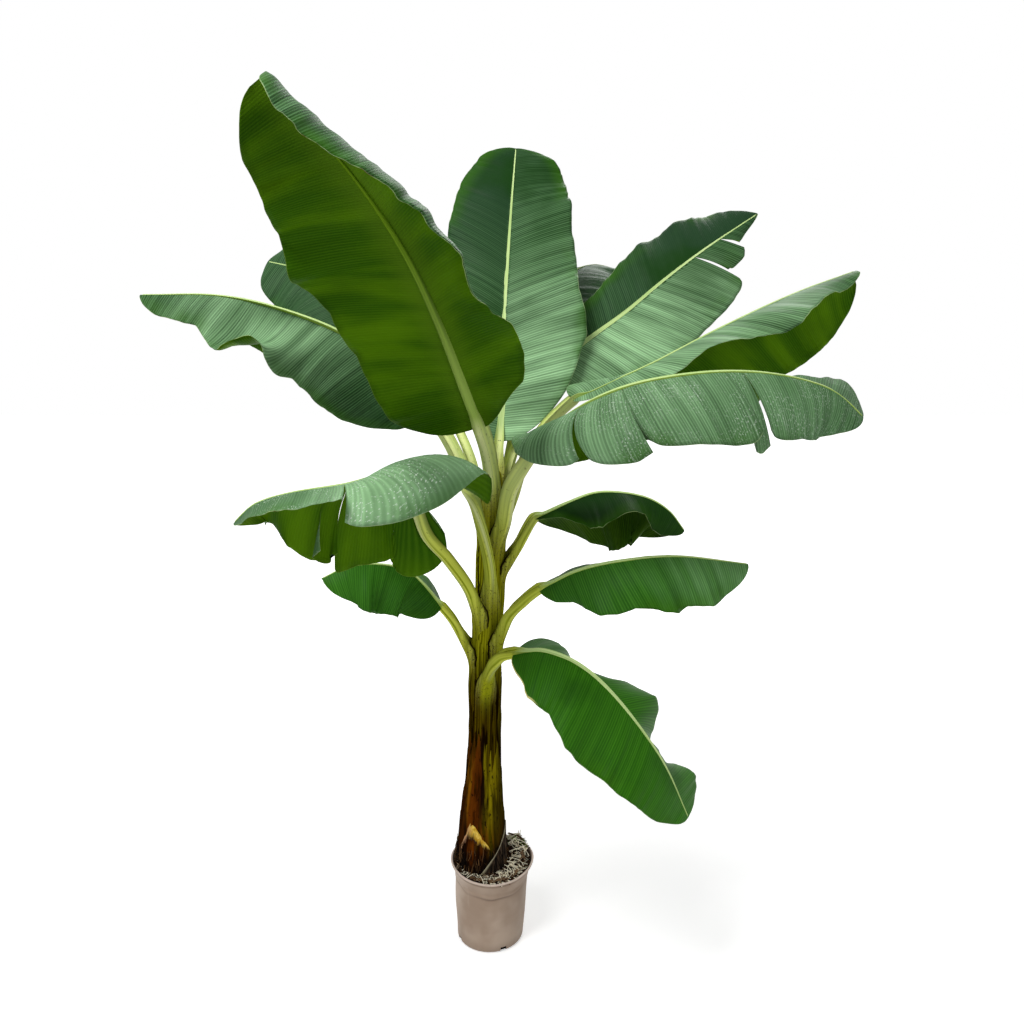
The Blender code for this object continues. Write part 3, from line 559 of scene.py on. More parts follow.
# The stem's height and radius, and its height and how far it leans towards +X
STEM_OUTLINE = [(0.185, 0.0610), (0.200, 0.0625), (0.260, 0.0600), (0.340, 0.0540), (0.430, 0.0450),
                (0.550, 0.0375), (0.700, 0.0345), (0.900, 0.0320), (1.050, 0.0290), (1.150, 0.0250),
                (1.190, 0.0190), (1.205, 0.0090)]
STEM_LEAN = [(0.0, -0.026), (0.280, -0.026), (0.550, -0.018), (0.700, -0.015), (1.000, 0.0),
             (1.300, 0.010)]
SHEATH_EDGE = 0.0020        # thickness of a sheath at its edges
SHEATH_BEVEL = 0.0016       # width of the slope along them
EDGE_LINE = 0.0016          # reach of the dark line on an edge
EDGE_SHADE = 0.007          # reach of the painted shade beside it, on what it lies over
SHEATH_SPREAD = 0.36        # half the angle a sheath spans where its stalk leaves, in radians
STEM_ROWS = 300
STEM_TURNS = 172


def lean(z):
    return np.interp(z, *zip(*STEM_LEAN))


def stem_radius(z):
    return np.interp(z, *zip(*STEM_OUTLINE))


def round_stem(turn, z, radius):
    """Points at an angle, a height, and a distance from the stem's leaning axis."""
    return np.stack([lean(z) + radius * np.cos(turn), radius * np.sin(turn), z], -1)


stem_skin = Finish("stem_skin", Roughness=0.45, Specular_IOR_Level=0.0)
place = stem_skin.place()
x, y, z = stem_skin.axes(place)
streaks = stem_skin.grain(x * 95, y * 95, z * 5, 4.0, 0.6)
broad = stem_skin.grain(x * 30, y * 30, z * 4, 3.0)
fleck = stem_skin.grain(x * 170, y * 170, z * 70)
fibre = stem_skin.grain(x * 700, y * 700, z * 9)
edge = stem_skin.attribute("edge")
depth = stem_skin.attribute("under")
# side: how far towards +X, in a line that wanders with the grain
middle = z.step(0.30, 1.0) * 0.026 - 0.026
side = (x - middle) * 22 + (broad - 0.5) * 1.4
colour = stem_skin.mix(streaks.step(0.30, 0.62), tint(74, 62, 0), tint(144, 130, 16))
green = stem_skin.mix(streaks, tint(92, 86, 0), tint(164, 164, 36))
colour = stem_skin.mix(z.step(0.62, 1.0) * 0.8, colour, green)
# Red-brown on the left and low down, with amber where it ends
red_side = (1 - side.step(-0.10, 0.35)) * (1 - z.step(0.46, 0.78))
red = stem_skin.mix(streaks.step(0.35, 0.62), tint(36, 10, 0), tint(104, 52, 8))
colour = stem_skin.mix((red_side * (0.55 + streaks)).share(), colour, red)
glow = (side + 0.70 + (streaks - 0.5) * 0.6).size()
glow = (1 - glow.step(0.03, 0.26)) * z.step(0.30, 0.40) * (1 - z.step(0.42, 0.54))
colour = stem_skin.mix(glow * 0.55, colour, tint(184, 122, 20))
low_red = (1 - (z + (broad - 0.5) * 0.2).step(0.27, 0.40)) * streaks.step(0.30, 0.5)
colour = stem_skin.mix(low_red * 0.8, colour, red)
# A dark streak up the front, dark edges with painted shade beside them, painted shade down the flanks,
# flecks, and a black foot
front = (0.0 - y).step(0.0, 0.012)
wander = (side - 0.16 + (streaks - 0.5) * 0.6 + (broad - 0.5) * 0.4).size()
streak = (1 - wander.step(0.10, 0.28)) * z.step(0.29, 0.40) * (1 - z.step(0.66, 0.84)) * front
colour = stem_skin.mix(streak * 0.96, colour, tint(18, 5, 6))
edges_and_shade = (edge * 1.3 + depth * 0.7) * (1 - z.step(0.7, 1.15) * 0.6) * (0.35 + streaks)
flank_shade = side.size().step(0.58, 0.86) * (1 - z.step(0.8, 1.1) * 0.7) * 0.7
colour = stem_skin.mix((edges_and_shade + flank_shade).share(), colour, tint(24, 14, 6))
blotch = fleck.step(0.62, 0.70) * (1 - z.step(0.5, 1.1) * 0.6)
colour = stem_skin.mix(blotch * 0.85, colour, tint(22, 12, 8))
foot = 1 - (z + (broad - 0.5) * 0.09 + (streaks - 0.5) * 0.05).step(0.225, 0.300)
colour = stem_skin.mix(foot * 0.95, colour, tint(10, 5, 4))
stem_skin.feed("Base Color", colour)
stem_skin.feed("Roughness", 0.30 + 0.25 * streaks + 0.3 * foot)
stem_skin.bump(fibre * 0.35 + streaks * 0.65, 0.0014)


def sheath_spans(turn, z):
    """For each sheath, outermost first: how far inside its edges a point lies, in metres."""
    spans = []
    for i, (azimuth, leave) in enumerate(sorted(SHEATHS.values(), key=lambda sheath: sheath[1])):
        below = np.clip(leave - 0.04 - z, 0, None)
        wobble = 0.12 * np.sin(9 * z + 2.1 * i) + 0.05 * np.sin(31 * z + i)
        reach = SHEATH_SPREAD + (below / 0.16) ** 0.75 + wobble * np.clip(below * 6, 0, 1)
        away = (turn - math.radians(azimuth) + math.pi) % (2 * math.pi) - math.pi
        away = away - 0.35 * np.clip(below * 2, 0, 1) * (-1) ** i
        inside = (reach - np.abs(away)) * stem_radius(z)
        spans.append(np.where(z > leave + 0.01, -1, inside))
    return spans


def add_stem():
    low, high = STEM_OUTLINE[0][0], STEM_OUTLINE[-1][0]
    rows = np.linspace(low, high, STEM_ROWS)[:, None]
    turn = np.linspace(-math.pi, math.pi, STEM_TURNS, endpoint=False)[None]
    turn, z = np.broadcast_arrays(turn, rows)
    raised, edge, under, hidden = np.zeros((4, *z.shape))
    for inside in sheath_spans(turn, z):
        cover = ease(inside / SHEATH_BEVEL)
        raised = raised + cover * SHEATH_EDGE
        line = np.exp(-np.abs(inside - 0.001) / EDGE_LINE)
        edge = np.maximum(edge, line * (1 - hidden))
        # Painted shade beside the edge, on the sheath it lies over
        darkening = np.exp(-np.clip(-inside, 0, None) / EDGE_SHADE) * (inside < 0)
        under = np.maximum(under, darkening * (1 - hidden))
        hidden = np.maximum(hidden, cover)
    fluting = 0.0007 * np.sin(11 * turn + 3 * z) + 0.0005 * np.sin(23 * turn - 8 * z)
    fluting = fluting * np.clip((1.2 - z) * 8, 0, 1)
    radius = stem_radius(z) + raised - raised.mean(axis=1, keepdims=True) + fluting
    points = round_stem(turn, z, radius).reshape(-1, 3)
    caps = np.array([[lean(low), 0, low], [lean(high), 0, high + 0.004]])
    faces = grid_faces(STEM_ROWS, STEM_TURNS, closed=True).tolist()
    last = STEM_ROWS * STEM_TURNS
    for j in range(STEM_TURNS):
        k = (j + 1) % STEM_TURNS
        faces.append([last, k, j])
        faces.append([last + 1, last - STEM_TURNS + j, last - STEM_TURNS + k])
    stem = make_piece("stem", np.vstack([points, caps]), faces, [stem_skin])
    set_values(stem.data, "edge", np.r_[edge.ravel(), 0, 0])
    set_values(stem.data, "under", np.r_[under.ravel(), 0, 0])
    tidy(stem)
    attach(stem, "root")
    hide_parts("pseudostem")


add_stem()


# ---- Remains of old leaves ----------------------------------------------------------------
# A leaf was cut off at the foot, and its torn base stands out as a yellow hood over black
# fibres. A dead sheath, dry and curled at its edge, still wraps the other side of the foot.

FOOT = 0.206                # the height where the stem comes out of the soil

torn = Finish("torn_leaf_base", Roughness=0.7, Specular_IOR_Level=0.1)
place = torn.place()
x, y, z = torn.axes(place)
grain = torn.grain(x * 240, y * 240, z * 60, 3.0)
blot = torn.noise(place, 60.0, 3.0)
rim = torn.attribute("rim")
colour = torn.mix(grain.step(0.35, 0.65), tint(206, 158, 40), tint(246, 214, 100))
browned = ((x * -1 - 0.046) * 60 + (blot - 0.5) * 1.6).share()
colour = torn.mix(browned, colour, tint(196, 148, 104))
colour = torn.mix(((rim - 0.55) * 2.2 + (grain - 0.5) * 1.6).share(), colour, tint(58, 32, 16))
torn.feed("Base Color", colour)
torn.bump(grain + blot * 0.5, 0.0016)

papery = Finish("dry_sheath", Roughness=0.75, Specular_IOR_Level=0.05)
place = papery.place()
x, y, z = papery.axes(place)
grain = papery.grain(x * 160, y * 160, z * 30, 3.0)
rim = papery.attribute("rim")
colour = papery.mix(grain.step(0.35, 0.65), tint(20, 15, 12), tint(74, 60, 46))
colour = papery.mix(((1 - rim) * 22 - 20.6).share(), colour, tint(172, 164, 136))
papery.feed("Base Color", colour)
papery.bump(grain, 0.0014)


def wrap(name, finish, azimuth, z, off, rim, thickness, node):
    """A skin round the stem from grids of azimuth in degrees, height, and how far it stands off."""
    points = round_stem(np.radians(azimuth), z, stem_radius(z) + off)
    piece = make_piece(name, points, grid_faces(*z.shape), [finish])
    set_values(piece.data, "rim", rim)
    shell = piece.modifiers.new("thickness", "SOLIDIFY")
    shell.thickness = thickness
    shell.offset = 0
    bake_modifiers(piece)
    tidy(piece)
    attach(piece, "root")
    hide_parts(node)


def add_cut_base():
    """A hood: high in its middle, standing off along its jagged lower edge."""
    u, v = np.meshgrid(np.linspace(0, 1, 90), np.linspace(0, 1, 22))
    azimuth = -144 + 76 * u
    crest = np.interp(u, [0, 0.20, 0.33, 0.42, 0.62, 1.0], [0.262, 0.312, 0.334, 0.336, 0.314, 0.270])
    band = np.interp(u, [0, 0.3, 0.5, 0.8, 1.0], [0.012, 0.036, 0.030, 0.014, 0.004])
    jag = 0.004 * np.sin(34 * u) + 0.0028 * np.sin(71 * u + 1) + 0.0018 * np.sin(127 * u)
    z = crest - v * (band + jag * np.sin(np.pi * u))
    off = 0.0010 + 0.011 * v ** 1.4 * np.sin(np.pi * u) ** 0.6 + 0.0012 * np.sin(50 * u) * v
    wrap("cut_base", torn, azimuth, z, off, rim=v, thickness=0.0022,
         node="cut_leaf_base")


def add_dry_sheath():
    """A skin whose front edge runs down and forwards, curled away from the stem."""
    u, v = np.meshgrid(np.linspace(0, 1, 60), np.linspace(0, 1, 40))
    z = FOOT + v * (0.112 - 0.045 * u ** 1.5) + 0.002 * np.sin(21 * u) * v
    front = np.interp(z, [FOOT, 0.238, 0.268, 0.300, 0.320], [-92, -71, -47, -22, -12])
    azimuth = front + (55 - front) * u
    off = 0.0026 + 0.0040 * np.exp(-u / 0.03) + 0.0010 * np.sin(17 * u + 5 * v)
    wrap("dry_sheath_skin", papery, azimuth, z, off, rim=u, thickness=0.0009,
         node="dry_sheath")


def add_foot_fibres():
    """Black fibres that hang down round the foot."""
    turn, z = np.meshgrid(np.linspace(-math.pi, math.pi, 61), np.linspace(FOOT, 0.262, 6))
    skin = round_stem(turn, z, stem_radius(z) + 0.002), grid_faces(*z.shape)
    strew("foot_fibres", skin, fibre_finish, "bark", Density=22000.0, Length=0.034, Girth=0.0007,
          Bend=0.12, Heading=(0.0, 0.0, -1.0), Scatter=0.28, Lift=0.22, Seed=5)


add_cut_base()
add_dry_sheath()
add_foot_fibres()


# ---- Bark ---------------------------------------------------------------------------------
# Six strips of bark lie on the soil round the stem. Each is split off along its grain, a
# little curled, and frayed at its ends.

# Distance from the pot's axis, angle, turn, length, width
BARK = [(0.080, -78, 12, 0.046, 0.012), (0.078, -38, 52, 0.044, 0.011), (0.076, 2, 95, 0.042, 0.013),
        (0.078, 42, 132, 0.046, 0.010), (0.080, 82, 172, 0.044, 0.012), (0.083, -115, -22, 0.036, 0.010)]
BARK_THICKNESS = 0.0014


def vein_axes(finish):
    """Metres along the strip or midrib, and metres across it, to draw grain or veins by."""
    return finish.axes(finish.node("ShaderNodeUVMap", dict(uv_map="veins")))[:2]


bark = Finish("bark_strips", Roughness=0.9, Specular_IOR_Level=0.05)
along, out = vein_axes(bark)
grain = bark.grain(along * 40, out * 900, 0.0, 3.0)
blot = bark.noise(bark.place(), 90.0, 3.0)
colour = bark.mix(grain.step(0.35, 0.68), tint(66, 46, 32), tint(164, 134, 100))
colour = bark.mix(blot.step(0.5, 0.7) * 0.6, colour, tint(52, 38, 28))
bark.feed("Base Color", colour)
bark.bump(grain + blot * 0.4, 0.0016)


def set_veins(mesh, veins):
    """Give each corner its point's grain or vein coordinates."""
    corner = np.zeros(len(mesh.loops), int)
    mesh.loops.foreach_get("vertex_index", corner)
    mesh.uv_layers.new(name="veins").data.foreach_set("uv", veins[corner].ravel())


def add_bark(i, distance, angle, turn, length, width):
    u, v = np.meshgrid(np.linspace(-0.5, 0.5, 48), np.linspace(-0.5, 0.5, 14))
    fray = 0.16 * np.sin(23 * v + i) + 0.08 * np.sin(61 * v + 2 * i)
    along = u * length * (1 + fray * np.abs(2 * u) ** 3)
    across = v * width * (1 - 0.35 * (u + 0.5)) * (1 + 0.10 * np.sin(14 * u + i))
    angle, turn = math.radians(angle), math.radians(turn)
    x = distance * math.cos(angle) + along * math.cos(turn) - across * math.sin(turn)
    y = distance * math.sin(angle) + along * math.sin(turn) + across * math.cos(turn)
    curl = 0.0030 * (1 - (2 * v) ** 2) + 0.0012 * np.sin(7 * u + i) + 0.0005 * np.sin(40 * v + i)
    z = soil_height(x, y) * 0.4 + soil_height(x.mean(), y.mean()) * 0.6 + 0.0016 + curl
    strip = make_piece(f"bark_{i}", np.stack([x, y, z], -1), grid_faces(14, 48), [bark])
    set_veins(strip.data, np.stack([along.ravel(), across.ravel()], -1))
    shell = strip.modifiers.new("thickness", "SOLIDIFY")
    shell.thickness = BARK_THICKNESS
    bake_modifiers(strip)
    tidy(strip)
    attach(strip, "root")
    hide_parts(f"bark_strip_{i}")


for i, sizes in enumerate(BARK, 1):
    add_bark(i, *sizes)


# ---- Leaves -------------------------------------------------------------------------------
# Thirteen leaves, each grown as one piece: a stalk that rises out of its sheath, channelled
# above and round below, and a blade whose two halves hang or fold from the midrib. Fine veins
# run from midrib to margin, and the blade ripples and tears along them. It is waxy above.

def unit(vectors):
    """The vectors at length 1."""
    return vectors / np.linalg.norm(vectors, axis=-1, keepdims=True)


def line_length(line):
    """The length along a line, up to each of its points."""
    return np.r_[0, np.cumsum(np.linalg.norm(np.diff(line, axis=0), axis=1))]


def smooth_curve(points, count):
    """Catmull-Rom through the points, at even steps along its length, and that length."""
    p = np.array(points, float)
    p = np.vstack([2 * p[0] - p[1], p, 2 * p[-1] - p[-2]])
    t = np.linspace(0, 1, 24, endpoint=False)[:, None]
    runs = [0.5 * (2 * b + (c - a) * t + (2 * a - 5 * b + 4 * c - d) * t**2
                   + (3 * b - a - 3 * c + d) * t**3) for a, b, c, d in zip(p, p[1:], p[2:], p[3:])]
    fine = np.vstack(runs + [p[-2][None]])
    length = line_length(fine)
    at = np.linspace(0, length[-1], count)
    return np.stack([np.interp(at, length, fine[:, k]) for k in range(3)], -1), length[-1]


def spread(values, t):
    """Evenly spaced rows of values, smoothly interpolated at the shares t."""
    v = np.array(values, float)
    x = np.linspace(0, 1, len(v))
    slope = np.gradient(v, x, axis=0)
    i = np.clip(np.searchsorted(x, t, side="right") - 1, 0, len(v) - 2)
    h = x[1] - x[0]
    f = ((t - x[i]) / h)[:, None]
    return ((2 * f**3 - 3 * f**2 + 1) * v[i] + (f**3 - 2 * f**2 + f) * h * slope[i]
            + (3 * f**2 - 2 * f**3) * v[i + 1] + (f**3 - f**2) * h * slope[i + 1])


def blade_outline(t, peak, base, tip):
    """Half width along a blade, as a share of the widest."""
    rise = np.clip(t / peak, 0, 1)
    fall = np.clip((1 - t) / (1 - peak), 0, 1)
    return (1 - (1 - rise) ** 2) ** base * (1 - (1 - fall) ** 2) ** tip


VEIN_SPACING = 0.0054


def vein_pattern(finish):
    """The blade's two axes, bands a few veins wide, the veins' ridges, and fine streaks along them."""
    along, out = vein_axes(finish)
    bands = finish.grain(along * 26, out * 2.5, 0.0)
    ridge = (along * (2 * math.pi / VEIN_SPACING) + bands * 5).sine() * 0.5 + 0.5
    streak = finish.grain(along * 330, out * 7, 3.0)
    return along, out, bands, ridge, streak


waxy = Finish("leaf_upper", Roughness=0.4, Specular_IOR_Level=0.05)
place = waxy.place()
along, out, bands, ridge, streak = vein_pattern(waxy)
margin = waxy.attribute("margin")
marks = waxy.attribute("dew")
lush = waxy.attribute("lush")
bloom = waxy.attribute("bloom")
cloud = waxy.noise(place, 5.0, 3.0)
threads = waxy.grain(along * 230, out * 1.6, 6.0, 2.0, 0.6)
pleats = waxy.grain(along * 90, out * 1.4, 4.0)
# Pale lines along the veins, on a deeper green
thin = ridge ** 2.0
lines = (thin * (0.30 + pleats * 0.5) + threads * 1.1 + pleats * 0.9 - 0.82).share()
lines = 0.5 + (lines - 0.5) * (1 - lush * 0.35 - marks * 0.40)
deep = waxy.mix(lush, tint(20, 50, 18), tint(22, 72, 4))
light = waxy.mix(lush, tint(94, 136, 88), tint(68, 132, 26))
colour = waxy.mix(lines, deep, light)
# Painted sheen, a pale reflection of the light, and painted shade, a darker green, where the value is below 0
sheen = waxy.grain(along * 24, out * 3.5, 2.0, 3.0).step(0.36, 0.64)
sheen = (bloom * (0.55 + sheen * 0.85) * (0.40 + lines * 0.75)).share()
colour = waxy.mix(sheen, colour, tint(170, 216, 162))
shaded = waxy.mix(lush, tint(30, 58, 34), tint(6, 26, 4))
colour = waxy.mix((0 - bloom).share() * 0.95, colour, shaded)
colour = waxy.mix(cloud.step(0.46, 0.68) * (0.5 - bloom * 0.5).share(), colour, tint(20, 56, 12))
# Painted light shining through the thin blade near its margin, in yellow-green patches
near_edge = 1 - margin.step(0.0, 0.045)
colour = waxy.mix(near_edge * cloud.step(0.42, 0.60) * 0.6, colour, tint(52, 100, 6))
# Chalky marks where drops of water dried or ran
drops = waxy.grain(along * 480, out * 210, 5.0).step(0.58, 0.68)
runs = waxy.grain(along * 330, out * 14, 8.0).step(0.58, 0.72)
dusted = waxy.grain(along * 14, out * 14, 1.0, 1.0).step(0.36, 0.60)
chalk = marks * (dusted * (drops + runs * 0.45) + drops * runs * 0.6).share()
colour = waxy.mix(marks * 0.15, colour, tint(126, 170, 120))
colour = waxy.mix(chalk, colour, tint(206, 222, 204))
# A pale margin, and one that has dried up at the base of the freshest leaf
pale_edge = (1 - margin.step(0.0004, 0.0016)) * bands.step(0.35, 0.6)
colour = waxy.mix(pale_edge * 0.75, colour, tint(170, 196, 140))
dried = (lush * 10 - 9).share() * (1 - margin.step(0.0028, 0.0060)) * (1 - along.step(0.07, 0.11))
colour = waxy.mix(dried * out.step(0.0, 0.01), colour, tint(232, 224, 150))
waxy.feed("Base Color", colour)
waxy.feed("Roughness", 0.34 + 0.16 * streak + 0.1 * cloud)
waxy.bump(thin * 0.2 + threads * 0.3 + pleats * 0.6, 0.0008)

lower = Finish("leaf_underside", Roughness=0.5, Specular_IOR_Level=0.03)
place = lower.place()
along, out, bands, ridge, streak = vein_pattern(lower)
margin = lower.attribute("margin")
cloud = lower.noise(place, 4.0, 3.0)
folds = lower.grain(along * 16, out * 3, 5.0)
# A saturated yellow-green that stands in for light shining through the blade: painted light
colour = lower.mix(folds.step(0.36, 0.66), tint(46, 88, 0), tint(84, 126, 2))
colour = lower.mix(cloud.step(0.38, 0.7) * 0.45, colour, tint(30, 66, 2))
# Painted shade on the underside, where the leaf's painted sheen and shade value is below 0
colour = lower.mix((0 - lower.attribute("bloom")).share() * 0.7, colour, tint(14, 38, 4))
colour = lower.mix((1 - out.size().step(0.0, 0.06)) * 0.6, colour, tint(92, 126, 22))
colour = lower.mix((ridge * streak).share() * 0.4, colour, tint(98, 142, 24))
colour = lower.mix((1 - margin.step(0.0, 0.02)) * bands.step(0.4, 0.6) * 0.45, colour, tint(26, 60, 4))
colour = lower.mix((1 - margin.step(0.0004, 0.0016)) * 0.5, colour, tint(120, 146, 60))
lower.feed("Base Color", colour)
lower.feed("Roughness", 0.4 + 0.2 * cloud)
lower.bump(ridge * 0.4 + streak * 0.5, 0.0006)

hem = Finish("leaf_margin", Roughness=0.5, Specular_IOR_Level=0.1)
worn = hem.noise(hem.place(), 26.0, 3.0)
colour = hem.mix(worn.step(0.40, 0.55), tint(66, 96, 36), tint(158, 182, 116))
hem.feed("Base Color", hem.mix(worn.step(0.60, 0.66), colour, tint(104, 72, 40)))

rib_skin = Finish("stalk_and_midrib", Roughness=0.38, Specular_IOR_Level=0.0)
place = rib_skin.place()
z = rib_skin.axes(place)[2]
along, around = vein_axes(rib_skin)
upper = rib_skin.attribute("upper")
blade_share = rib_skin.attribute("in_blade")
closing = rib_skin.attribute("closing")
lip = rib_skin.attribute("lip")
joint = rib_skin.attribute("joint")
lengthwise = rib_skin.grain(along * 5, around * 900, 0.0, 3.0)
grooves = rib_skin.grain(along * 2.5, around * 260, 4.0)
broad = rib_skin.grain(along * 6, around * 70, 9.0)
mottle = rib_skin.noise(place, 190.0, 4.0, 0.6)
fleck = rib_skin.grain(along * 90, around * 260, 2.0)
# The stalk is yellow-green, paler at the crown, with a painted highlight down its back
stalk_colour = rib_skin.mix(grooves.step(0.32, 0.66), tint(128, 144, 4), tint(220, 228, 92))
crown = z.step(1.0, 1.25)
stalk_colour = rib_skin.mix(crown * 0.55, stalk_colour, tint(204, 222, 160))
back_highlight = (1 - (around * (130 - crown * 60)).size().step(0.0, 0.8)) * (1 - closing)
back_highlight = back_highlight * (0.35 + z.step(0.92, 1.2) * 0.55)
stalk_colour = rib_skin.mix(back_highlight, stalk_colour, tint(240, 246, 176))
# The sheath below it is olive, and browner where it is old
old = 1 - z.step(0.62, 0.82)
deep = rib_skin.mix(old, tint(96, 96, 0), tint(44, 32, 0))
light = rib_skin.mix(old, tint(160, 160, 24), tint(98, 82, 4))
sheath_colour = rib_skin.mix(grooves.step(0.35, 0.62), deep, light)
sheath_colour = rib_skin.mix(broad.step(0.46, 0.66) * old * 0.8, sheath_colour, tint(58, 28, 8))
stalk_colour = rib_skin.mix(closing, stalk_colour, sheath_colour)
# Where the two meet it is papery, and its hump is greener
papery = joint * (0.45 + mottle).step(0.72, 1.08)
stalk_colour = rib_skin.mix(papery * 0.3, stalk_colour, tint(196, 196, 110))
hump = (joint * 1.4).share() * (1 - z.step(0.70, 0.95)) * (1 - (around * 60).size().step(0.4, 1.2))
hump_colour = rib_skin.mix(grooves, tint(116, 124, 0), tint(186, 190, 30))
stalk_colour = rib_skin.mix(hump * 0.85, stalk_colour, hump_colour)
# Dark stains run along the edges
below = closing * old * (1 - joint)
darkening = joint * mottle.step(0.58, 0.64) * 0.8 + lip * (0.40 + closing * 1.8) * (0.5 + grooves)
darkening = darkening + below * broad.step(0.52, 0.57)
stalk_colour = rib_skin.mix(darkening.share(), stalk_colour, tint(22, 12, 0))
# The midrib is pale above and green below
under_colour = rib_skin.mix(grooves.step(0.35, 0.65), tint(76, 112, 6), tint(126, 162, 38))
under_colour = rib_skin.mix((1 - z.step(1.30, 1.72)) * 0.8, under_colour, tint(178, 204, 104))
upper_colour = rib_skin.mix(lengthwise.step(0.3, 0.7), tint(162, 194, 112), tint(212, 232, 166))
blade_colour = rib_skin.mix(upper.step(0.45, 0.55), under_colour, upper_colour)
colour = rib_skin.mix(blade_share, stalk_colour, blade_colour)
ticks = fleck.step(0.64, 0.70) * (1 - blade_share) * (0.45 + closing * 0.5)
colour = rib_skin.mix(ticks, colour, tint(40, 26, 8))
rib_skin.feed("Base Color", colour)
rib_skin.feed("Roughness", 0.28 + 0.25 * lengthwise)
rib_skin.bump(lengthwise * 0.25 + grooves * 0.55 + mottle * 0.2, 0.0014)

# One leaf. stalk, rib: points along the stalk and the midrib. face: the way the upper side
# looks, evenly spaced along the rib. width: how wide each half is. shape: where the blade is
# widest, and how full it is towards its base and its tip. girth: the stalk's share of its usual
# size. dew: how much chalky water marks show. lush: how fresh a green it is. The painted light,
# last of all: how much painted sheen shows at the blade's base and at its tip, or below 0 how
# much painted shade darkens it, how much less on the left half, and how much more halfway.
# left, right: its two halves, seen from above with the tip ahead.
Leaf = namedtuple("Leaf", "stalk rib face width shape left right girth dew lush bloom",
                  defaults=(1.0, 0.0, 0.0, (0, 0, 0, 0)))
# One half of a blade. angles: evenly spaced pairs in degrees, at the rib and at the margin,
# positive towards the upper side. wave: cycles along the margin, height, phase. fan: how many
# degrees the veins at the base turn back. trim: evenly spaced shares of the width. tears: where
# along the blade each is, how far out from the rib it starts, and its gap. lobes: for each lobe
# between tears, how much further it hangs, in degrees, and its share of the width.
Half = namedtuple("Half", "angles wave fan trim tears lobes", defaults=(0, (1, 1), (), ()))

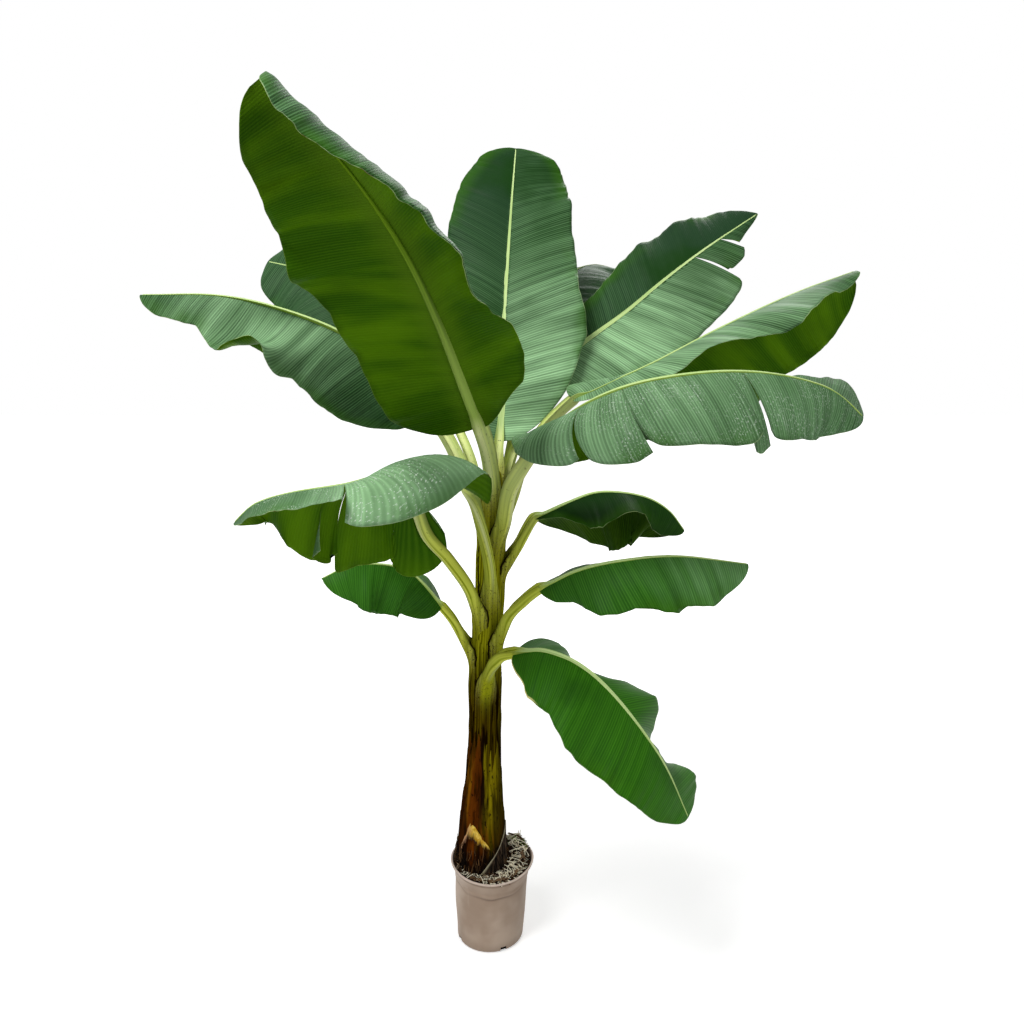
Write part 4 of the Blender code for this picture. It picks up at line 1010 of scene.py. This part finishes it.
LEAVES = {
    "tall_left": Leaf(
        stalk=[(0.003, -0.050, 1.18), (-0.005, -0.080, 1.25)],
        rib=[(-0.02, -0.12, 1.31), (-0.05, -0.18, 1.40), (-0.09, -0.26, 1.52), (-0.14, -0.34, 1.64),
             (-0.20, -0.41, 1.74), (-0.27, -0.47, 1.83), (-0.34, -0.51, 1.91)],
        face=[(0.1, 1, 0.2), (0.1, 1, 0.2), (0.25, 1, 0.3)], width=0.18, shape=(0.55, 0.42, 0.3),
        girth=1.7,
        left=Half([(-10, -40), (-10, -35), (0, -92), (-4, -104), (-33, -115), (-50, -110)],
                  (4, 0.008, 0.4), trim=(0.6, 1.15, 1.05, 1, 1, 1, 1, 1, 1)),
        right=Half([(-10, -10), (0, -10), (5, -5), (5, -10), (-10, -35)], (5, 0.010, 0.1),
                   trim=(1.9, 1.4, 1.15, 1.08, 1.18, 1.03, 0.9, 0.87, 0.77))),
    "centre_upright": Leaf(
        stalk=[(0.012, 0.035, 1.20)],
        rib=[(0.02, 0.05, 1.26), (0.03, 0.10, 1.40), (0.03, 0.16, 1.54), (0.04, 0.25, 1.70),
             (0.05, 0.33, 1.85), (0.06, 0.41, 1.98)],
        face=[(0, -1, 0.3), (0, -1, 0.3)], width=0.20, shape=(0.34, 0.45, 0.5), girth=1.1,
        bloom=(0.95, -0.6, 0.7, 0),
        left=Half([(10, 0), (15, -10), (15, -10), (10, -10)], (3, 0.010, 0.4),
                  trim=(0.8, 0.8, 0.7, 0.7, 0.78, 0.82, 0.87, 0.95, 1)),
        right=Half([(10, 0), (10, 0), (10, -10), (10, -20)], (3, 0.012, 0.1),
                   trim=(0.8, 0.95, 1.04, 0.9, 0.87, 0.87, 0.9, 1.1, 1.4))),
    "upper_right": Leaf(
        stalk=[(0.045, 0.055, 1.20), (0.080, 0.085, 1.30)],
        rib=[(0.13, 0.13, 1.41), (0.23, 0.18, 1.49), (0.33, 0.22, 1.56), (0.43, 0.26, 1.64),
             (0.54, 0.30, 1.72), (0.68, 0.35, 1.81)],
        face=[(0, -0.8, 0.6), (0, -0.8, 0.6)], width=0.17, shape=(0.4, 0.45, 0.85),
        bloom=(0.85, -0.5, 1.3, 0.35),
        left=Half([(0, -10), (0, -20), (0, -30)], (4, 0.006, 0.4),
                  trim=(0.5, 0.55, 0.62, 0.7, 0.8, 0.87, 0.92, 1.18, 1.1)),
        right=Half([(0, -10), (0, -10), (-5, -10)], (4, 0.010, 0.1),
                   tears=[(0.70, 0.05, 0.002), (0.82, 0.02, 0.001)],
                   lobes=[(0, 1), (25, 0.66), (40, 0.40)])),
    "rear_right": Leaf(
        stalk=[(0.030, 0.080, 1.13), (0.060, 0.130, 1.28)],
        rib=[(0.11, 0.21, 1.42), (0.15, 0.33, 1.56), (0.21, 0.45, 1.665), (0.28, 0.56, 1.70),
             (0.37, 0.65, 1.69)],
        face=[(0, 0.3, 1), (0, 0, 1)], width=0.15, shape=(0.45, 0.45, 0.4), bloom=(-0.6, -0.4, 0, 0),
        left=Half([(0, -30), (0, -40), (0, -30)], (3, 0.010, 0.4)),
        right=Half([(-10, -30), (-10, -40), (-10, -30)], (4, 0.010, 0.1))),
    "long_right": Leaf(
        stalk=[(0.070, 0.010, 1.20), (0.120, 0.018, 1.29)],
        rib=[(0.19, 0.02, 1.36), (0.29, -0.02, 1.41), (0.37, -0.05, 1.45), (0.50, -0.07, 1.52),
             (0.65, -0.07, 1.59), (0.79, -0.05, 1.64)],
        face=[(0, -0.2, 1), (0, -0.2, 1)], width=0.18, shape=(0.5, 0.45, 0.35), bloom=(0.5, -0.1, 0, 0.2),
        left=Half([(75, 20), (20, -50), (-60, -110), (-60, -110), (-60, -110), (-60, -105), (-60, -100)],
                  (3, 0.010, 0.4), fan=60, trim=(0.7, 0.85, 1, 1, 1)),
        right=Half([(-10, -25), (0, -25), (10, -15)], (3, 0.012, 0.1),
                   trim=(0.5, 0.55, 0.5, 0.45, 0.5, 0.75, 0.5, 0.43, 0.4))),
    "arched_right": Leaf(
        stalk=[(0.032, -0.050, 1.08), (0.050, -0.085, 1.18)],
        rib=[(0.10, -0.12, 1.27), (0.15, -0.17, 1.33), (0.22, -0.22, 1.38), (0.31, -0.26, 1.415),
             (0.44, -0.29, 1.435), (0.56, -0.30, 1.43), (0.67, -0.29, 1.40), (0.74, -0.28, 1.345)],
        face=[(0.1, -0.3, 1), (0, -0.2, 1)], width=0.15, shape=(0.4, 0.4, 0.5), girth=1.3, dew=0.5,
        bloom=(0.4, 0.0, 0, 0.05),
        left=Half([(-50, -85), (-50, -88), (-50, -90), (-48, -85), (-45, -80), (-35, -60), (-10, -20),
                   (15, 5), (30, 20)], (3, 0.008, 0.4), fan=60),
        right=Half([(75, 45), (25, -60), (-15, -80), (-25, -85), (-28, -90), (-30, -90), (-30, -85),
                    (-30, -80), (-30, -60)], (2, 0.008, 0.1), fan=95,
                   trim=(0.9, 0.95, 1, 1.02, 1.05, 1.05, 1.05, 1.25, 1.1),
                   tears=[(0.21, 0.4, 0.004), (0.33, 0.06, -0.012), (0.60, 0.1, 0), (0.64, 0.1, -0.003)],
                   lobes=[(0, 1.28), (0, 1.2), (-8, 0.98), (6, 1.2), (-6, 0.95)])),
    "rear_left": Leaf(
        stalk=[(-0.045, 0.055, 1.20)],
        rib=[(-0.10, 0.12, 1.32), (-0.21, 0.24, 1.43), (-0.32, 0.33, 1.55), (-0.46, 0.40, 1.66),
             (-0.61, 0.45, 1.70)],
        face=[(0, -0.8, 0.6), (0, -0.8, 0.6)], width=0.17, shape=(0.45, 0.45, 0.4),
        bloom=(-0.5, -0.4, 0, 0),
        left=Half([(0, -10), (0, -20), (0, -20)], (3, 0.008, 0.4)),
        right=Half([(0, -10), (0, -20), (0, -20)], (3, 0.008, 0.1))),
    "long_left": Leaf(
        stalk=[(-0.002, -0.062, 1.00), (-0.038, -0.060, 1.14), (-0.085, -0.025, 1.25)],
        rib=[(-0.14, 0.02, 1.33), (-0.23, 0.02, 1.43), (-0.33, 0.00, 1.51), (-0.47, -0.02, 1.565),
             (-0.60, -0.03, 1.59), (-0.76, -0.04, 1.59)],
        face=[(0, -0.3, 1), (0, -0.3, 1)], width=0.20, shape=(0.3, 0.45, 0.7), girth=1.25,
        bloom=(-0.7, -0.2, 0, 0.95),
        left=Half([(-50, -90), (-52, -95), (-55, -100), (-55, -85), (-85, 45), (-80, 20), (-40, -50),
                   (-30, -40), (-20, -30)], (3.5, 0.006, 0.3),
                  trim=(1, 1, 0.88, 0.72, 0.85, 1.05, 0.55, 0.7, 1)),
        right=Half([(-30, -80), (-40, -100), (-30, -70), (-20, -50)], (4, 0.010, 0.1))),
    "front_left": Leaf(
        stalk=[(-0.045, -0.080, 0.93), (-0.090, -0.130, 1.02), (-0.135, -0.170, 1.09)],
        rib=[(-0.16, -0.20, 1.18), (-0.20, -0.24, 1.225), (-0.275, -0.32, 1.22), (-0.37, -0.375, 1.212),
             (-0.43, -0.40, 1.195), (-0.468, -0.41, 1.16)],
        face=[(-0.1, -0.1, 0.9), (0, -0.1, 0.9), (0, -0.1, 1), (0, -0.1, 1)], width=0.19,
        shape=(0.2, 0.25, 0.5), girth=0.95, dew=1.0, bloom=(1.0, -0.5, 0, 0.25),
        left=Half([(60, 25), (55, -30), (50, -75), (30, -70), (10, -60), (0, -58), (0, -55), (-5, -52),
                   (-10, -50)], (2, 0.006, 0.3), fan=95, trim=(1.5, 1.15, 0.6, 0.5, 0.5),
                  tears=[(0.45, 0.1, 0.004)], lobes=[(0, 1), (-55, 1)]),
        right=Half([(0, -20), (-40, -70), (-70, -90), (-70, -90), (-70, -90), (-50, -80), (-40, -70),
                    (-40, -65), (-40, -60)], (4, 0.012, 0.1), fan=95,
                   trim=(1.6, 1.15, 1.05, 1.05, 1.05, 0.85, 0.7, 0.6, 0.6),
                   tears=[(0.42, 0.25, 0.001), (0.52, 0.25, 0.001)], lobes=[(0, 1), (25, 0.85), (0, 1)])),
    "small_left": Leaf(
        stalk=[(-0.066, -0.025, 0.80), (-0.085, -0.045, 0.85)],
        rib=[(-0.11, -0.06, 0.89), (-0.15, -0.08, 0.95), (-0.19, -0.10, 0.99), (-0.25, -0.13, 1.01),
             (-0.31, -0.16, 1.01), (-0.36, -0.18, 0.99)],
        face=[(0, -0.3, 1), (0, -0.3, 1)], width=0.115, shape=(0.45, 0.4, 0.5), girth=0.8, lush=0.9,
        bloom=(-0.3, 0.0, 0, 0),
        left=Half([(-20, -60), (-30, -70), (-20, -60)], (3, 0.010, 0.3)),
        right=Half([(-5, -10), (-30, -60), (-20, -60)], (3, 0.008, 0.1))),
    "small_right": Leaf(
        stalk=[(0.045, -0.006, 0.98), (0.072, -0.015, 1.04)],
        rib=[(0.10, -0.02, 1.09), (0.18, -0.03, 1.13), (0.25, -0.04, 1.155), (0.34, -0.06, 1.15),
             (0.40, -0.07, 1.12), (0.44, -0.07, 1.07)],
        face=[(0, -0.3, 1), (0, -0.3, 1)], width=0.14, shape=(0.5, 0.5, 0.4), girth=0.9, lush=0.9,
        bloom=(-1.0, -0.7, 0, 0),
        left=Half([(-40, -70), (-60, -95), (-65, -100), (-65, -95), (-50, -80)], (3, 0.006, 0.3),
                  trim=(1.5, 1.5, 1.35, 1.1, 0.95, 1.5, 1.9)),
        right=Half([(-10, -20), (-10, -15), (-20, -50)], (2, 0.006, 0.25),
                   trim=(0.3, 0.4, 0.95, 0.9, 0.55, 0.38, 0.55, 0.6, 0.4))),
    "mid_right": Leaf(
        stalk=[(0.038, -0.060, 0.86), (0.075, -0.080, 0.91)],
        rib=[(0.11, -0.10, 0.945), (0.20, -0.14, 1.00), (0.30, -0.17, 1.03), (0.41, -0.18, 1.04),
             (0.56, -0.17, 1.02)],
        face=[(0, -0.3, 1), (0, -0.3, 1)], width=0.125, shape=(0.5, 0.5, 0.6), girth=0.95, lush=0.85,
        bloom=(-0.3, 0.35, 0, 0),
        left=Half([(0, -20), (-20, -80), (-20, -60)], (3, 0.006, 0.3)),
        right=Half([(-20, -50), (-20, -50), (-20, -50)], (4, 0.009, 0.25),
                   trim=(0.7, 0.9, 0.85, 1, 1.14, 1.08, 0.93, 0.96, 1.05, 1.06, 0.94, 1, 1.06, 1, 0.96,
                         0.95, 0.95))),
    "low_right": Leaf(
        stalk=[(-0.002, -0.075, 0.73), (0.020, -0.095, 0.78)],
        rib=[(0.055, -0.12, 0.80), (0.12, -0.16, 0.82), (0.20, -0.20, 0.80), (0.28, -0.24, 0.735),
             (0.37, -0.27, 0.615), (0.43, -0.28, 0.485)],
        face=[(0.1, -0.4, 1), (0.3, -0.5, 1), (0.6, -0.5, 0.6)], width=0.15, shape=(0.4, 0.4, 0.45),
        girth=1.0, lush=1.0, bloom=(-0.1, 0.05, 0, 0),
        left=Half([(0, -10), (-10, -50), (-50, -80), (-20, -40), (0, -15), (-30, -50), (-30, -50),
                   (0, -10), (0, -10)], (3, 0.006, 0.3),
                  trim=(1.1, 0.9, 0.7, 0.8, 0.9, 0.7, 0.7, 1.1, 1.5)),
        right=Half([(0, -25), (-5, -25), (0, -15)], (3, 0.009, 0.25),
                   trim=(0.7, 1.1, 0.98, 1.15, 1.05, 1, 0.95, 0.9, 0.7))),
}

BLADE_THICKNESS = 0.0008
BLADE_ROWS = 200
BLADE_COLUMNS = 18
RIB_POINTS = 401
# Pleats across a blade: how long each is along the midrib, and how high
PLEATS = [(0.150, 0.0040), (0.083, 0.0020), (0.041, 0.0011), (0.021, 0.0003)]
VEIN_SWEEP = 0.10           # how far towards the tip a vein ends, as a share of the blade
TORN_CORNER = 0.14          # how far a torn lobe's corner is rounded off, as a share of its width
ROW_CLEARANCE = 0.006       # share of the blade beside a tear that is left free of other rows


def blade_rows(tears):
    """Each row's share along the blade, its lobe, and the tear it borders: side, depth and gap."""
    u = np.linspace(0, 1, BLADE_ROWS)
    shares = np.clip(0.6 * u + 0.4 * (1 - np.cos(np.pi * u)) / 2, 0.0005, 0.998)
    rows = []
    for t in shares:
        if all(abs(t - tear[0]) > ROW_CLEARANCE for tear in tears):
            rows.append((t, sum(t > tear[0] for tear in tears), 0, 1.0, 0.0))
    for i, (t, depth, gap) in enumerate(tears):
        rows.append((t, i, -1, depth, gap))
        rows.append((t, i + 1, 1, depth, gap))
    return sorted(rows, key=lambda row: (row[0], row[1]))


def ripple(rng, along, length):
    """Pleats across the blade, which follow its veins."""
    total = np.zeros_like(along)
    turns = 2 * np.pi * along * length
    for period, height in PLEATS:
        start, drift = rng.uniform(0, 6.3, 2)
        bend = 1.5 * np.sin(turns / (period * 2.7) + drift)
        total = total + height * np.sin(turns / period + start + bend)
    return total


def blade_half(leaf, side, rib, length, rng):
    """Points over one half of a blade, their vein coordinates and margin distances, and its quads."""
    half = getattr(leaf, side)
    sign = -1 if side == "left" else 1
    tears = sorted(half.tears)
    lobes = np.array(half.lobes or [(0, 1)] * (len(tears) + 1), float)
    t, lobe, *bordering = (np.array(values) for values in zip(*blade_rows(tears)))
    border, depth, gap = (values[:, None] for values in bordering)
    v = np.linspace(0, 1, BLADE_COLUMNS)[None]
    fine = np.linspace(0, 1, RIB_POINTS)
    tangent = unit(np.gradient(rib, axis=0))
    face = unit(spread(leaf.face, fine))
    angles = np.radians(spread(half.angles, t))
    trim = np.interp(t, np.linspace(0, 1, len(half.trim)), half.trim)
    width = leaf.width * blade_outline(t, *leaf.shape) * trim
    uneven = 0.010 * np.sin(31 * t + rng.uniform(0, 6)) + 0.003 * np.sin(97 * t + rng.uniform(0, 6))
    width = width * (1 + uneven)
    for tear in tears:
        width = width * (1 - TORN_CORNER * np.exp(-np.abs(t - tear[0]) / 0.012))
    width = width * lobes[lobe, 1]

    # From where a tear starts outwards, its two rows draw apart
    opened = np.clip((v - depth) / (1 - np.minimum(depth, 0.99)), 0, 1)
    t_here = t[:, None] + border * gap / length * opened
    s = np.clip(t_here + VEIN_SWEEP * v * np.sin(np.pi * t)[:, None], 0, 1)
    angle = angles[:, :1] + (angles[:, 1:] - angles[:, :1]) * v
    if tears:
        starts = np.interp(t, [tear[0] for tear in tears], [tear[1] for tear in tears])[:, None]
        hang = np.radians(lobes[lobe, 0])[:, None]
        angle = angle - hang * np.clip((v - starts) / (1 - starts), 0, 1)
    step = width[:, None] / (BLADE_COLUMNS - 1)
    middle = (angle[:, 1:] + angle[:, :-1]) / 2
    zero = np.zeros((len(t), 1))
    reach = np.concatenate([zero, np.cumsum(np.cos(middle) * step, 1)], 1)
    rise = np.concatenate([zero, np.cumsum(np.sin(middle) * step, 1)], 1)
    swell = ripple(rng, t_here, length) * v ** 0.8 * np.clip(width[:, None] / 0.10, 0, 1)
    cycles, height, phase = half.wave
    wave = height * np.sin(2 * np.pi * (cycles * t_here + phase))
    swell = swell + wave * v ** 2 * np.sin(np.pi * t)[:, None] ** 0.5

    def sample(values):
        return np.stack([np.interp(s, fine, values[:, k]) for k in range(3)], -1)

    forward = unit(sample(tangent))
    across = unit(np.cross(forward, sample(face)))
    up = np.cross(across, forward)
    fan = np.radians(half.fan) * np.clip(1 - t / 0.4, 0, 1)[:, None]
    points = (sample(rib) + sign * across * (reach * np.cos(fan))[..., None]
              - forward * (reach * np.sin(fan))[..., None] + up * rise[..., None])
    normal = unit(np.cross(np.gradient(points, axis=0), np.gradient(points, axis=1))) * -sign
    points = points + normal * swell[..., None]
    veins = np.stack([np.broadcast_to(t_here * length, reach.shape), sign * v * width[:, None]], -1)
    margin = (1 - v) * width[:, None]
    quads = grid_faces(len(t), BLADE_COLUMNS).reshape(len(t) - 1, BLADE_COLUMNS - 1, 4)
    whole = ~((border[:-1, 0] < 0) & (border[1:, 0] > 0))
    quads = quads[whole].reshape(-1, 4)
    return points.reshape(-1, 3), veins.reshape(-1, 2), margin.ravel(), quads[:, ::sign]


STALK_ROWS = 190
STALK_HALF_WIDTH = 0.012
STALK_DEPTH = 0.014
SHEATH_REACH = 0.22         # how far below its stalk a sheath can still be told apart
SHEATH_HALF_WIDTH = 0.030   # half its width, round the stem, where the stalk leaves
SHEATH_WALL = 0.0045
CLOSING = 0.11              # length over which a sheath closes up into a stalk
SIDE_STEPS = 14
LINE_POINTS = 1201
LINE_SPARE = 7              # points at the line's end, at the blade's tip, that carry no midrib
# A sheath's middle line: how far below its stalk, and how far off the stem's skin
SEAT_RISES = ((SHEATH_REACH, -0.009), (0.13, -0.004), (0.06, 0.0), (0.0, 0.002))


def stalk_loft(name, leaf, rib):
    """Points round the sheath, stalk and midrib, grain coordinates, values for the finish, and faces."""
    azimuth, leave = SHEATHS[name]
    turn = math.radians(azimuth)
    out = np.array([math.cos(turn), math.sin(turn), 0])
    seats = []
    for below, rise in SEAT_RISES:
        z = leave - below
        seats.append(np.array([lean(z), 0, z]) + out * (stem_radius(z) + rise))
    line = smooth_curve(seats + list(leaf.stalk) + list(rib[::25]), LINE_POINTS)[0]
    run = line_length(line)
    start = int(np.argmin(np.linalg.norm(line - rib[0], axis=1)))
    parting = int(np.argmin(np.linalg.norm(line[:start] - seats[-1], axis=1)))
    stretches = (0, start), (start, LINE_POINTS - LINE_SPARE)
    at = np.concatenate([np.linspace(*ends, STALK_ROWS // 2) for ends in stretches])
    at = np.unique(np.round(at).astype(int))
    centre = line[at]
    tangent = unit(np.gradient(line, axis=0))[at]
    # free: length above the parting from the stem. inside: share of the midrib in the blade.
    free = run[at] - run[parting]
    turned = ease(free / (run[start] - run[parting]))[:, None]
    inside = np.clip((at - start) / (LINE_POINTS - 1 - start), 0, 1)
    face = unit(spread(leaf.face, inside))
    first = unit(np.array(leaf.face[0], float))
    face = np.where((at < start)[:, None], unit(-out * (1 - turned) + first * turned), face)
    across = unit(np.cross(tangent, face))
    up = np.cross(across, tangent)
    hug = (1 - ease(free / 0.05))[:, None]
    closing = 1 - ease(free / CLOSING)
    taper = (1 - 0.86 * inside ** 0.8) * leaf.girth * (1 - 0.35 * np.clip(inside / 0.06, 0, 1))
    petiole = STALK_HALF_WIDTH * taper
    half = petiole + (SHEATH_HALF_WIDTH - petiole) * closing
    half = (half + 0.014 * np.clip(-free / SHEATH_REACH, 0, 1))[:, None]
    depth = (STALK_DEPTH * taper * (1 - closing) + SHEATH_WALL * closing)[:, None]
    channel = (0.80 * (1 - np.clip(inside / 0.08, 0, 1)) + 0.10)[:, None]
    x = np.sin(np.linspace(-np.pi / 2, np.pi / 2, 2 * SIDE_STEPS + 1))[None]
    radius = (stem_radius(centre[:, 2]) + 0.003)[:, None]
    crimp = 0.0014 * closing[:, None] * np.sin(free[:, None] * 260 + 5 * x) * np.abs(x) ** 6
    # A section bends round the stem at first, and is a channel with upturned sides later
    hugging, loose = hug * radius, (1 - hug) * half
    wide = hugging * np.sin(half * x / radius) + loose * x * (1 - 0.14 * channel * np.abs(x) ** 3)
    top = hugging * (1 - np.cos(half * x / radius)) + loose * channel * np.abs(x) ** 2.2 + crimp
    top = top + 0.0006 * (inside > 0)[:, None]
    bottom = top - 0.0012 - depth * (1 - np.abs(x) ** 2.6) ** 0.6
    ring_x = np.concatenate([wide, wide[:, ::-1]], 1)
    ring_y = np.concatenate([top, bottom[:, ::-1]], 1)
    points = centre[:, None] + across[:, None] * ring_x[..., None] + up[:, None] * ring_y[..., None]
    count = ring_x.shape[1]

    def spread_out(row_values, ring_values=1.0):
        """One value for each point, from one for each ring and one for each place round it."""
        rows = np.asarray(row_values).reshape(-1, 1)
        return (np.broadcast_to(rows, ring_x.shape) * ring_values).ravel()

    both = np.concatenate([x[0], x[0][::-1]])[None]
    veins = np.stack([spread_out(run[at]), spread_out(half, both)], -1)
    upper = np.repeat([1.0, 0.0], x.shape[1])[None]
    values = {"upper": spread_out(np.ones(len(at)), upper),
              "in_blade": spread_out(np.clip(inside / 0.05, 0, 1)),
              "closing": spread_out(closing), "lip": spread_out(1 - inside, np.abs(both) ** 24),
              "joint": spread_out(np.exp(-((free - 0.035) / 0.045) ** 2))}
    faces = grid_faces(len(at), count, closed=True)[:, ::-1].tolist()
    faces.append(list(range(count)))
    faces.append(list(range((len(at) - 1) * count, len(at) * count))[::-1])
    return points.reshape(-1, 3), veins, values, faces


def make_blade(name, leaf, rib, length, rng):
    """Both halves as a thin shell: waxy above, duller below, and pale along its margin."""
    halves = [blade_half(leaf, side, rib, length, rng) for side in ("left", "right")]
    points = np.vstack([half[0] for half in halves])
    quads = np.vstack([halves[0][3], halves[1][3] + len(halves[0][0])])
    blade = make_piece(name + "_blade", points, quads, [waxy, lower, hem])
    set_veins(blade.data, np.vstack([half[1] for half in halves]))
    margin = np.concatenate([half[2] for half in halves])
    set_values(blade.data, "margin", margin)
    set_values(blade.data, "dew", np.full(len(margin), leaf.dew))
    set_values(blade.data, "lush", np.full(len(margin), leaf.lush))
    along = np.clip(np.concatenate([half[1][:, 0] for half in halves]) / length, 0, 1)
    left = np.repeat([1, 0], [len(half[0]) for half in halves])
    # Painted sheen along the blade, or painted shade below 0, less on the left half
    base, tip, less, more = leaf.bloom
    bloom = base + (tip - base) * along - less * left + more * np.sin(np.pi * along)
    set_values(blade.data, "bloom", bloom)
    tidy(blade, outwards=False)
    shell = blade.modifiers.new("thickness", "SOLIDIFY")
    shell.thickness = BLADE_THICKNESS
    shell.offset = -1
    shell.material_offset = 1
    shell.material_offset_rim = 2
    bake_modifiers(blade)
    return blade


def make_stalk(name, leaf, rib):
    points, veins, values, faces = stalk_loft(name, leaf, rib)
    stalk = make_piece(name + "_stalk", points, faces, [rib_skin])
    set_veins(stalk.data, veins)
    for key, value in values.items():
        set_values(stalk.data, key, value)
    return stalk


def join_pieces(name, pieces):
    """One piece of several, which keeps the finishes of each."""
    bpy.ops.object.select_all(action="DESELECT")
    for piece in pieces:
        piece.select_set(True)
    bpy.context.view_layer.objects.active = pieces[0]
    bpy.ops.object.join()
    pieces[0].name = name
    pieces[0].data.name = name
    return pieces[0]


def add_leaf(name, leaf, seed):
    rib, length = smooth_curve(leaf.rib, RIB_POINTS)
    blade = make_blade(name, leaf, rib, length, np.random.default_rng(seed))
    piece = join_pieces(name + "_leaf", [blade, make_stalk(name, leaf, rib)])
    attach(piece, "root")
    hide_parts("leaf_" + name)


for seed, (name, leaf) in enumerate(LEAVES.items()):
    add_leaf(name, leaf, seed)


# ---- Stage --------------------------------------------------------------------------------
# A plain white floor under three soft lamps, and white all round. The camera stands two metres
# off at the height of a person's eyes, and looks a little down.

SKY_LIGHT = 0.27            # how strongly the white all round lights the plant
EYE = (0.05, -2.0, 1.50)
LOOK_DOWN = 11.3            # in degrees

bpy.ops.mesh.primitive_plane_add(size=30, location=(0, 0, 0))
floor = bpy.context.active_object
floor.name = "floor"
floor_finish = Finish("floor_white", Roughness=0.9, Base_Color=(0.9, 0.9, 0.9, 1), Emission_Strength=1.0)


def direct_rays(tree):
    """1 where the floor or the sky is seen, in a reflection too, and 0 where it lights something."""
    camera, glossy, transmission = (tree.node("ShaderNodeLightPath", output=f"Is {kind} Ray")
                                    for kind in ("Camera", "Glossy", "Transmission"))
    return (camera + glossy + transmission).share()


away = floor_finish.node("ShaderNodeVectorMath", dict(operation="LENGTH"), [floor_finish.place()],
                         output="Value")
glow = floor_finish.mix(away.step(0.2, 3.0), (0.45, 0.45, 0.45, 1), (1, 1, 1, 1))
floor_finish.feed("Emission Color", floor_finish.mix(direct_rays(floor_finish), (0, 0, 0, 1), glow))
floor.data.materials.append(floor_finish.material)
floor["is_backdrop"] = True

world = bpy.data.worlds.new("studio")
bpy.context.scene.world = world
world.use_nodes = True
sky = Tree(world.node_tree)
background = world.node_tree.nodes["Background"]
background.inputs["Color"].default_value = (1, 1, 1, 1)
strength = SKY_LIGHT + direct_rays(sky) * (1 - SKY_LIGHT)
world.node_tree.links.new(strength.socket, background.inputs["Strength"])


def add_light(name, place, target, power, size):
    light = bpy.data.lights.new(name, "AREA")
    light.energy = power
    light.shape = "DISK"
    light.size = size
    item = bpy.data.objects.new(name, light)
    item.location = place
    item.rotation_euler = (Vector(target) - Vector(place)).to_track_quat("-Z", "Y").to_euler()
    bpy.context.scene.collection.objects.link(item)


add_light("key", (-1.3, -1.5, 4.2), (0, 0, 1.1), 118, 1.7)
add_light("fill", (2.2, -2.8, 2.0), (0, 0, 1.0), 20, 2.0)
add_light("rim", (1.0, 2.6, 3.6), (0, 0, 1.3), 40, 1.6)

camera = bpy.data.cameras.new("camera")
camera.lens = 30.8
camera.sensor_width = 36
viewer = bpy.data.objects.new("camera", camera)
viewer.location = EYE
viewer.rotation_euler = (math.radians(90 - LOOK_DOWN), 0, 0)
bpy.context.scene.collection.objects.link(viewer)
bpy.context.scene.camera = viewer
bpy.context.scene.view_settings.view_transform = "Standard"

sizes = {"cad": [list(corner) for corner in cad_size], "visual": [list(corner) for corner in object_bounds()]}
